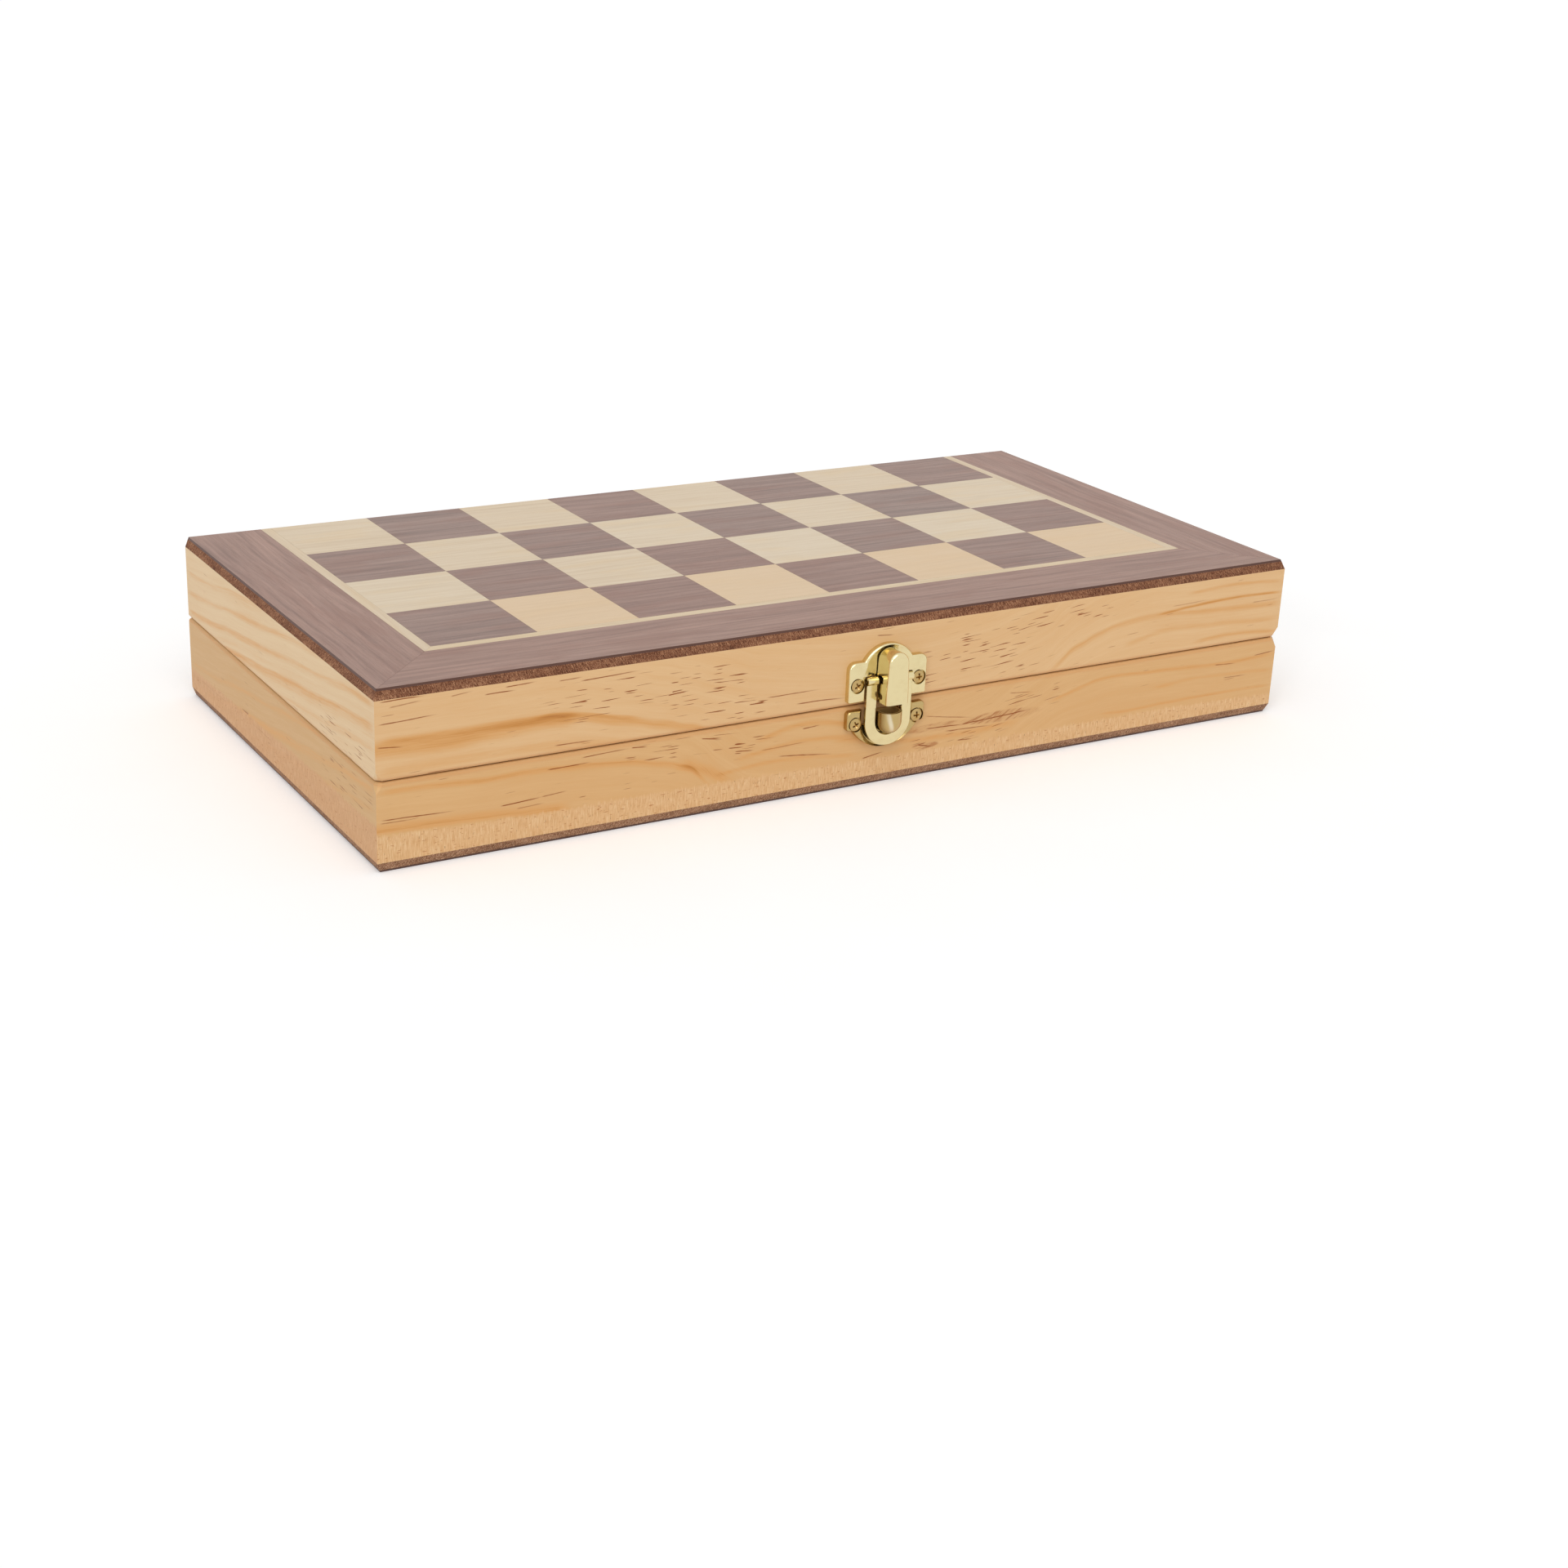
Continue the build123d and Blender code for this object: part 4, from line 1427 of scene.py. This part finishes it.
@dataclass
class Studio:
    """Pale floor, soft lights and the camera."""

    lens: float = 55.335
    eye: tuple[float, float, float] = (-348.8, -593.0, 246.0)
    heading: float = 31.665
    tilt_down: float = 21.539
    roll: float = 2.591
    floor_half: float = 60.0
    lift: float = 0.12
    ambient: float = 0.61
    key_strength: float = 1.05
    key_aim: tuple[float, float, float] = (0.35, 0.6, -1.0)
    key_spread: float = 50.0
    glint_strength: float = 0.24
    glint_aim: tuple[float, float, float] = (0.80, 0.60, -0.42)
    glint_spread: float = 10.0

    def build(self) -> list[str]:
        """Makes the floor, the world, the lamps and the camera.

        Returns:
            The names of the things made.
        """
        return [self.lay_floor().name, self.light_world(), *self.hang_lamps(), self.set_camera().name]

    def lay_floor(self) -> bpy.types.Object:
        """Lays a plain pale floor under the board.

        Returns:
            The floor.
        """
        g = Graph.material("pale_floor")
        grain = g.noise(g.place(), 2.0, 0.5, 0.02)
        colour = g.blend(paint("FBFBFB"), paint("FFFFFF"), grain)
        glow = g.blend((0.0, 0.0, 0.0, 1.0), (self.lift, self.lift, self.lift, 1.0), g.seen())
        fixed = {"Specular IOR Level": 0.0, "Emission Strength": 1.0}
        varied = {"Base Color": colour, "Roughness": 0.9 + grain * 0.05, "Emission Color": glow}
        material = g.finish(fixed, varied)
        mesh = bmesh.new()
        bmesh.ops.create_grid(mesh, x_segments=4, y_segments=4, size=self.floor_half)
        floor = add_mesh("floor", mesh, material)
        return floor

    def light_world(self) -> str:
        """Surrounds the board with even light, white where it is seen or mirrored.

        Returns:
            The world's name.
        """
        world = bpy.data.worlds.new("studio_world")
        bpy.context.scene.world = world
        g = Graph(world)
        level = g.node("ShaderNodeMapRange", {}, {"Value": g.seen(), "To Min": self.ambient})
        light = g.node("ShaderNodeBackground", {}, {"Color": (1.0, 1.0, 1.0, 1.0), "Strength": level})
        g.show(light, "ShaderNodeOutputWorld")
        return world.name

    def hang_lamps(self) -> list[str]:
        """Hangs a large soft key light in front and to the left, and a small one that glints on metal.

        Returns:
            The lamps' names.
        """
        lamps = (
            ("key_light", self.key_strength, self.key_spread, self.key_aim),
            ("glint_light", self.glint_strength, self.glint_spread, self.glint_aim),
        )
        for name, strength, spread, aim in lamps:
            data = bpy.data.lights.new(name, "SUN")
            data.energy, data.angle = strength, math.radians(spread)
            lamp = bpy.data.objects.new(name, data)
            lamp.rotation_euler = Vector(aim).to_track_quat("-Z", "Y").to_euler()
            bpy.context.scene.collection.objects.link(lamp)
        return [lamp[0] for lamp in lamps]

    def set_camera(self) -> bpy.types.Object:
        """Sets the camera at the viewing angle of the photograph.

        Returns:
            The camera.
        """
        data = bpy.data.cameras.new("camera")
        data.lens, data.sensor_width = self.lens, 36.0
        camera = bpy.data.objects.new("camera", data)
        turn = Matrix.Rotation(math.radians(-self.heading), 3, "Z")
        lift = Matrix.Rotation(math.radians(90.0 - self.tilt_down), 3, "X")
        spin = Matrix.Rotation(math.radians(self.roll), 3, "Z")
        camera.rotation_euler = (turn @ lift @ spin).to_euler()
        camera.location = Vector(self.eye) * MM
        bpy.context.scene.collection.objects.link(camera)
        bpy.context.scene.camera = camera
        return camera


def streaks(*lines: tuple[float, ...]) -> tuple[Streak, ...]:
    """Streaks from (along, up, along, up, strength) rows."""
    return tuple(Streak((x0, z0), (x1, z1), strength) for x0, z0, x1, z1, strength in lines)


def upper_front_wall() -> PineWall:
    """The upper front wall: one arch left of the latch, a fainter one right of it, and many dashes.

    Returns:
        The finish.
    """
    arch = (
        (-146.0, 10.8), (-123.0, 10.5), (-105.0, 10.3), (-94.0, 9.8), (-83.0, 7.6), (-71.0, 5.0),
        (-62.0, 2.8), (-54.0, 0.4), (-40.0, -4.0), (0.0, -9.0), (40.0, -6.0), (60.0, 0.8), (66.0, 5.6),
        (73.0, 8.6), (80.0, 11.0), (88.0, 12.3), (98.0, 12.8), (112.0, 12.0), (146.0, 11.2),
    )
    return PineWall(
        "pine_upper_front", Grain.ALONG_X, arch, seed=1.0,
        bands=(
            Band(arch[:9], 1.7, 2.3, 0.23),
            Band(((-150.0, 9.0), (-134.0, 8.2), (-122.0, 8.4), (-104.0, 9.6), (-90.0, 9.2)), 3.4, 3.8, 0.27),
            Band(((-104.0, 11.0), (-95.0, 10.9), (-84.0, 9.0), (-72.0, 6.6)), 0.7, 1.6, 0.20),
            Band(((-146.0, 2.6), (-120.0, 3.4), (-90.0, 2.2), (-64.0, -1.0)), 2.0, 2.6, 0.12),
            Band(arch[11:], 1.2, 1.6, 0.20),
            Band(((98.0, 13.0), (108.0, 13.8), (126.0, 14.7), (146.0, 14.4)), 0.8, 0.6, 0.40),
            Band(((86.0, 5.0), (100.0, 7.6), (120.0, 7.2), (146.0, 6.0)), 1.4, 1.4, 0.14),
            Band(((112.0, 2.6), (128.0, 3.2), (146.0, 2.0)), 1.2, 1.0, 0.18),
            Band(((108.0, 18.0), (126.0, 18.8), (146.0, 18.0)), 0.9, 0.9, 0.16),
        ),
        streaks=streaks(
            (-144.6, 21.0, -131.5, 21.2, 0.9), (-142.2, 19.4, -132.6, 20.1, 0.5),
            (-145.2, 15.3, -128.3, 15.9, 0.8), (-125.8, 20.0, -119.5, 20.6, 0.5),
            (-116.8, 19.1, -107.5, 19.0, 0.8), (-111.2, 20.2, -102.0, 20.5, 0.9),
            (-96.3, 19.7, -89.1, 19.9, 0.6), (-90.5, 18.8, -72.0, 19.4, 0.8), (-97.6, 2.4, -85.0, 2.5, 0.7),
            (-132.5, 0.5, -122.0, 0.7, 0.8), (-145.4, 9.2, -138.0, 8.5, 0.7), (-35.0, 6.4, -17.0, 6.4, 0.7),
            (-25.6, 3.2, -8.5, 2.7, 0.8), (-40.0, 5.3, -35.6, 5.2, 0.8), (-64.8, 11.5, -58.0, 11.9, 1.0),
            (-63.6, 12.2, -60.0, 12.4, 0.8), (-0.5, 19.4, 5.6, 19.0, 0.6), (12.7, 0.4, 31.3, 0.4, 0.4),
            (103.0, 14.9, 118.0, 15.3, 0.35), (134.0, 12.3, 145.6, 12.6, 0.35),
        ),
        dashes=(
            Patch(-80.0, 14.5, 24.0, 5.2), Patch(-53.0, 11.0, 15.0, 8.5), Patch(-43.0, 3.6, 13.0, 4.2),
            Patch(20.0, 7.5, 13.0, 6.0), Patch(36.0, 11.5, 18.0, 7.5), Patch(62.0, 16.5, 24.0, 3.6),
            Patch(50.0, 5.5, 12.0, 4.5, 0.8), Patch(-88.0, 9.3, 9.0, 1.8),
        ),
    )


def lower_front_wall() -> PineWall:
    """The lower front wall: a steep arch left of the latch, a dark figure right of it, a sawn foot.

    Returns:
        The finish.
    """
    arch = (
        (-146.0, -2.6), (-134.0, -2.8), (-117.0, -3.6), (-105.0, -3.4), (-95.0, -3.8), (-86.0, -4.5),
        (-71.0, -6.3), (-62.0, -8.4), (-56.0, -11.0), (-51.0, -16.0), (-40.0, -24.0), (0.0, -28.0),
        (40.0, -20.0), (60.0, -8.6), (77.0, -4.4), (96.0, -4.3), (124.0, -5.6), (146.0, -5.0),
    )
    return PineWall(
        "pine_lower_front", Grain.ALONG_X, arch, seed=4.0, pale="D8AB75", cream="E2BB87",
        sawn_top=(
            (-146.0, -14.2), (-123.0, -15.0), (-94.0, -15.7), (-64.0, -15.6), (0.0, -16.6), (60.0, -17.0),
            (110.0, -17.2), (146.0, -18.2),
        ),
        bands=(
            Band(arch[:10], 1.2, 1.6, 0.28),
            Band(((-62.0, -8.0), (-56.0, -10.0), (-50.0, -13.0), (-44.0, -16.0)), 3.2, 3.0, 0.26),
            Band(((-150.0, -12.6), (-128.0, -13.2), (-112.0, -14.0), (-92.0, -15.2)), 2.2, 2.0, 0.32),
            Band(arch[13:], 0.8, 1.3, 0.26),
            Band(
                ((79.0, -15.2), (90.0, -15.8), (105.0, -15.2), (125.0, -15.2), (146.0, -15.4)),
                0.9, 0.7, 0.24,
            ),
            Band(((98.0, -10.0), (116.0, -9.0), (146.0, -10.4)), 1.0, 1.0, 0.18),
            Band(((-14.0, -9.0), (8.0, -12.4), (30.0, -13.6), (50.0, -12.8)), 1.2, 1.6, 0.22),
            Band(((-38.0, -5.4), (-27.0, -3.0), (-16.0, -3.2), (-5.0, -5.6)), 1.0, 1.7, 0.26),
            Band(((-44.0, -9.8), (-28.0, -7.8), (-12.0, -8.4), (2.0, -9.8), (16.0, -10.0)), 1.0, 1.5, 0.22),
            Band(((-50.0, -13.4), (-34.0, -12.2), (-18.0, -13.0), (-4.0, -14.6)), 0.9, 1.2, 0.20),
        ),
        streaks=streaks(
            (-99.5, -3.7, -86.0, -3.5, 0.9), (-90.0, -1.9, -74.6, -1.8, 0.7), (-75.2, -1.7, -70.0, -2.1, 0.8),
            (-145.0, -10.1, -123.6, -10.6, 0.8), (-145.0, -10.9, -136.0, -11.0, 0.5),
            (-112.6, -11.5, -100.0, -10.9, 1.0), (-101.0, -10.9, -93.0, -10.5, 0.6),
            (-108.0, -13.0, -99.6, -12.8, 0.5), (-30.6, -11.0, -12.0, -13.2, 0.7),
            (-3.2, -16.0, 4.4, -15.0, 0.8), (-54.4, -2.3, -48.6, -3.3, 0.9), (17.6, -10.4, 31.6, -11.1, 0.9),
            (30.0, -11.0, 40.6, -10.7, 1.0), (38.0, -10.8, 55.0, -9.9, 1.0), (17.0, -6.6, 34.8, -9.6, 0.5),
            (24.0, -12.2, 42.0, -12.9, 0.6), (15.4, -14.9, 20.6, -16.0, 1.0), (29.0, -15.5, 34.4, -15.8, 0.7),
            (46.0, -3.8, 55.0, -4.6, 0.5), (122.0, -5.9, 131.0, -6.4, 0.6), (137.4, -4.8, 146.0, -4.4, 0.7),
            (126.0, -10.4, 136.0, -10.8, 0.5), (-46.0, -6.3, -41.0, -6.6, 0.9),
            (-23.0, -4.2, -17.0, -3.9, 0.8), (-36.0, -8.4, -20.0, -8.2, 0.5), (6.0, -7.2, 16.0, -7.6, 0.5),
            (-44.0, -7.6, -37.6, -7.9, 0.8),
        ),
        dashes=(
            Patch(-60.0, -3.4, 20.0, 3.4), Patch(-42.0, -6.6, 12.0, 3.6), Patch(54.0, -5.6, 17.0, 3.8, 0.8),
            Patch(30.0, -13.8, 20.0, 2.2, 0.9), Patch(-84.0, -12.4, 14.0, 1.6, 0.7),
        ),
        figures=(
            Patch(44.0, -10.4, 15.0, 1.9), Patch(22.0, -10.4, 12.0, 1.4, 0.7),
            Patch(18.0, -15.4, 5.0, 1.1, 0.9),
        ),
    )


def side_wall(name: str, half: Half, seed: float) -> PineWall:
    """A side wall: paler, with soft bands that climb towards the front.

    Args:
        name: Name of the finish.
        half: The tray that the wall belongs to.
        seed: Number that sets this wall's grain apart from the others'.

    Returns:
        The finish.
    """
    def climb(up: float) -> tuple[tuple[float, float], ...]:
        """Curve that passes the middle of the wall at that height."""
        rows = ((-73.0, 9.4), (-40.0, 5.6), (0.0, 0.4), (40.0, -4.8), (73.0, -9.0))
        return tuple((y, up + rise) for y, rise in rows)

    if half is Half.UPPER:
        return PineWall(
            name, Grain.ALONG_Y, climb(5.0), seed=seed, pale="DFC096", cream="E8D0AA",
            bands=(
                Band(climb(5.2), 1.4, 3.0, 0.20), Band(climb(11.5), 1.0, 2.4, 0.15),
                Band(climb(17.0), 1.6, 1.6, 0.13), Band(climb(-0.5), 1.4, 1.8, 0.10),
                Band(climb(23.0), 1.0, 2.0, 0.12),
            ),
            dashes=(Patch(-52.0, 4.5, 22.0, 4.6, 0.7),),
        )
    return PineWall(
        name, Grain.ALONG_Y, climb(-12.0), seed=seed, pale="CFA774", cream="DAB686",
        sawn_top=((-73.0, -11.6), (0.0, -13.0), (73.0, -15.4)),
        bands=(
            Band(climb(-11.5), 1.8, 2.8, 0.18), Band(climb(-17.0), 1.2, 2.2, 0.12),
            Band(climb(-4.6), 1.2, 2.0, 0.10),
        ),
        foot_dark="C08A5C", foot="D1A072", foot_light="DDB588",
        streaks=streaks(
            (40.0, -16.0, 69.0, -16.9, 0.9), (3.0, -15.0, 18.0, -15.0, 1.0), (22.0, -13.4, 28.0, -13.6, 0.8),
        ),
        dashes=(Patch(-54.0, -6.5, 20.0, 5.6, 0.8),),
    )


def back_wall(name: str, half: Half, seed: float) -> PineWall:
    """The wall that carries the hinges: straight-grained pine with one long arch.

    Args:
        name: Name of the finish.
        half: The tray that the wall belongs to.
        seed: Number that sets this wall's grain apart from the others'.

    Returns:
        The finish.
    """
    middle = 10.6 * half.up
    arch = (
        (-146.0, middle - 3.0), (-90.0, middle - 1.6), (-30.0, middle + 2.0), (20.0, middle + 2.6),
        (80.0, middle - 0.6), (146.0, middle - 2.4),
    )
    lines = tuple(tuple((x, z + shift) for x, z in arch) for shift in (-5.4, 4.2, 7.0))
    return PineWall(
        name, Grain.ALONG_X, arch, seed=seed,
        bands=(Band(arch, 0.9, 2.0, 0.34), *(Band(line, 0.7, 1.2, 0.24) for line in lines)),
        streaks=streaks(
            (-60.0, middle - 2.0, -40.0, middle - 1.2, 0.7), (34.0, middle + 4.0, 58.0, middle + 3.4, 0.8),
        ),
        dashes=(Patch(-20.0, middle, 60.0, 6.0, 0.7),),
    )


STRIP_SEEDS = {Grain.ALONG_X: 11.0, Grain.ALONG_Y: 12.0}
STRIP_CELL = 400.0
WALNUT_EDGE = "45200F"
MAPLE_TINTS = ("DFCDB2", "D7C1A2", "CAB08D")
MAPLE_EDGE = "B08A5C"


def walnut(name: str, grain: Grain, seed: float) -> bpy.types.Material:
    """Walnut of the border strips.

    Args:
        name: Name of the finish.
        grain: The way its fibres run.
        seed: Number that sets its figure apart from the other veneers'.

    Returns:
        The finished material.
    """
    return Veneer(
        name, grain, ("B28C7B", "977465", "6E4C3F"), WALNUT_EDGE, other_tint="94786D", pores=0.5,
        cell=STRIP_CELL, cell_start=STRIP_CELL / 2, seed=seed,
    ).build()


def maple(name: str, grain: Grain, seed: float) -> bpy.types.Material:
    """Maple of the stringing.

    Args:
        name: Name of the finish.
        grain: The way its fibres run.
        seed: Number that sets its figure apart from the other veneers'.

    Returns:
        The finished material.
    """
    return Veneer(
        name, grain, MAPLE_TINTS, MAPLE_EDGE, other_tint="DCC49E", pores=0.15,
        cell=STRIP_CELL, cell_start=STRIP_CELL / 2, seed=seed, warm_tint="D9BC8E", warmth=0.3,
    ).build()


def main() -> None:
    """Builds every sub-assembly in order and reports it."""
    logging.basicConfig(level=logging.INFO, format="%(name)s: %(message)s")
    scene = bpy.context.scene
    scene.view_settings.view_transform = "Standard"
    border, stringing = {}, {}
    for grain, seed in STRIP_SEEDS.items():
        border[grain] = walnut(f"walnut_{grain.name.lower()}", grain, seed)
    for grain, seed in STRIP_SEEDS.items():
        stringing[grain] = maple(f"maple_{grain.name.lower()}", grain, seed + 2.0)
    dark = Veneer(
        "walnut_squares", Grain.ALONG_X, ("A98778", "8D6C5F", "6A4A3E"), WALNUT_EDGE, other_tint="8A7970",
        pores=0.6, seed=21.0,
    ).build()
    light = Veneer(
        "maple_squares", Grain.ALONG_X, MAPLE_TINTS, MAPLE_EDGE, other_tint="DECDB2", pores=0.15, seed=22.0,
        warm_tint="DDC092", warmth=0.3, front_tint="DFBC90",
    ).build()
    nose = (LATCH_X, FRONT_Y - KeeperPlate.hook_out, PARTING + KeeperPlate.hook_up)
    gold = PlatedBrass("bright_plating", "E1D2A3", "B6934E", 0.14).build()
    hinge_gold = PlatedBrass("pale_plating", "C6B484", "84683A", 0.20).build()
    # The keeper's plating is darker and browner than the lever's: painted reflection of the darker
    # surroundings below it, on top of the hook's painted light and shade.
    keeper_gold = PlatedBrass("keeper_plating", "BFA670", "80642F", 0.18, nose).build()
    screw_gold = PlatedBrass("screw_plating", "C0A36C", "74562C", 0.24).build()
    # Near-black plating for the pins: painted shade in the lever's shaded holes.
    worn = PlatedBrass("worn_pins", "6E5428", "33240E", 0.34).build()
    felt = Felt().build()
    cores = {}
    # The lower core is lighter than the upper: partly its own tone, partly painted light that offsets the
    # shade on its edge, which faces down.
    for half, tints, fleck, flecks in (
        (Half.LOWER, ("62442F", "8E664C", "A67C5E", "CBA586"), "DCC0A2", 0.7),
        (Half.UPPER, ("482819", "70452F", "8A5B41", "B08462"), "C49C7C", 0.35),
    ):
        cores[half] = Fibreboard(f"fibreboard_{half.value[0]}", tints, fleck, flecks).build()
    fronts = {Half.UPPER: upper_front_wall(), Half.LOWER: lower_front_wall()}
    assemblies = []
    for seed, half in enumerate(Half):
        walls = {
            "front": fronts[half],
            "back": back_wall(f"pine_{half.value[0]}_back", half, 30.0 + seed),
            "left": side_wall(f"pine_{half.value[0]}_left", half, 40.0 + seed),
            "right": side_wall(f"pine_{half.value[0]}_right", half, 50.0 + seed),
        }
        assemblies.append(Tray(half, walls, felt))
        assemblies.append(PlayingPanel(half, cores[half], dark, light, stringing, border))
    hinges, latch = HingePair(hinge_gold), ToggleLatch(gold, keeper_gold, worn)
    assemblies += [hinges, latch, Studio()]
    for node, plate in (("latch_base_screws", latch.base), ("latch_keeper_screws", latch.keeper)):
        assemblies.append(WoodScrews(
            node, plate.body, Head.PAN, plate.screw_seats(), (0.0, 1.0, 0.0), screw_gold,
            head_r=1.9, shank_r=0.9, length=6.5,
        ))
    for half in Half:
        assemblies.append(WoodScrews(
            half.node("hinge_screws"), f"{half.value[0]}_half", Head.COUNTERSUNK, hinges.screw_seats(half),
            (0.0, 0.0, float(half.up)), screw_gold,
            head_r=1.6, shank_r=0.8, length=8.0, recess_arm=0.95, recess_w=0.42,
        ))
    for assembly in assemblies:
        for name in assembly.build():
            log.info("%s: %s", type(assembly).__name__, name)


if __name__ == "__main__":
    main()
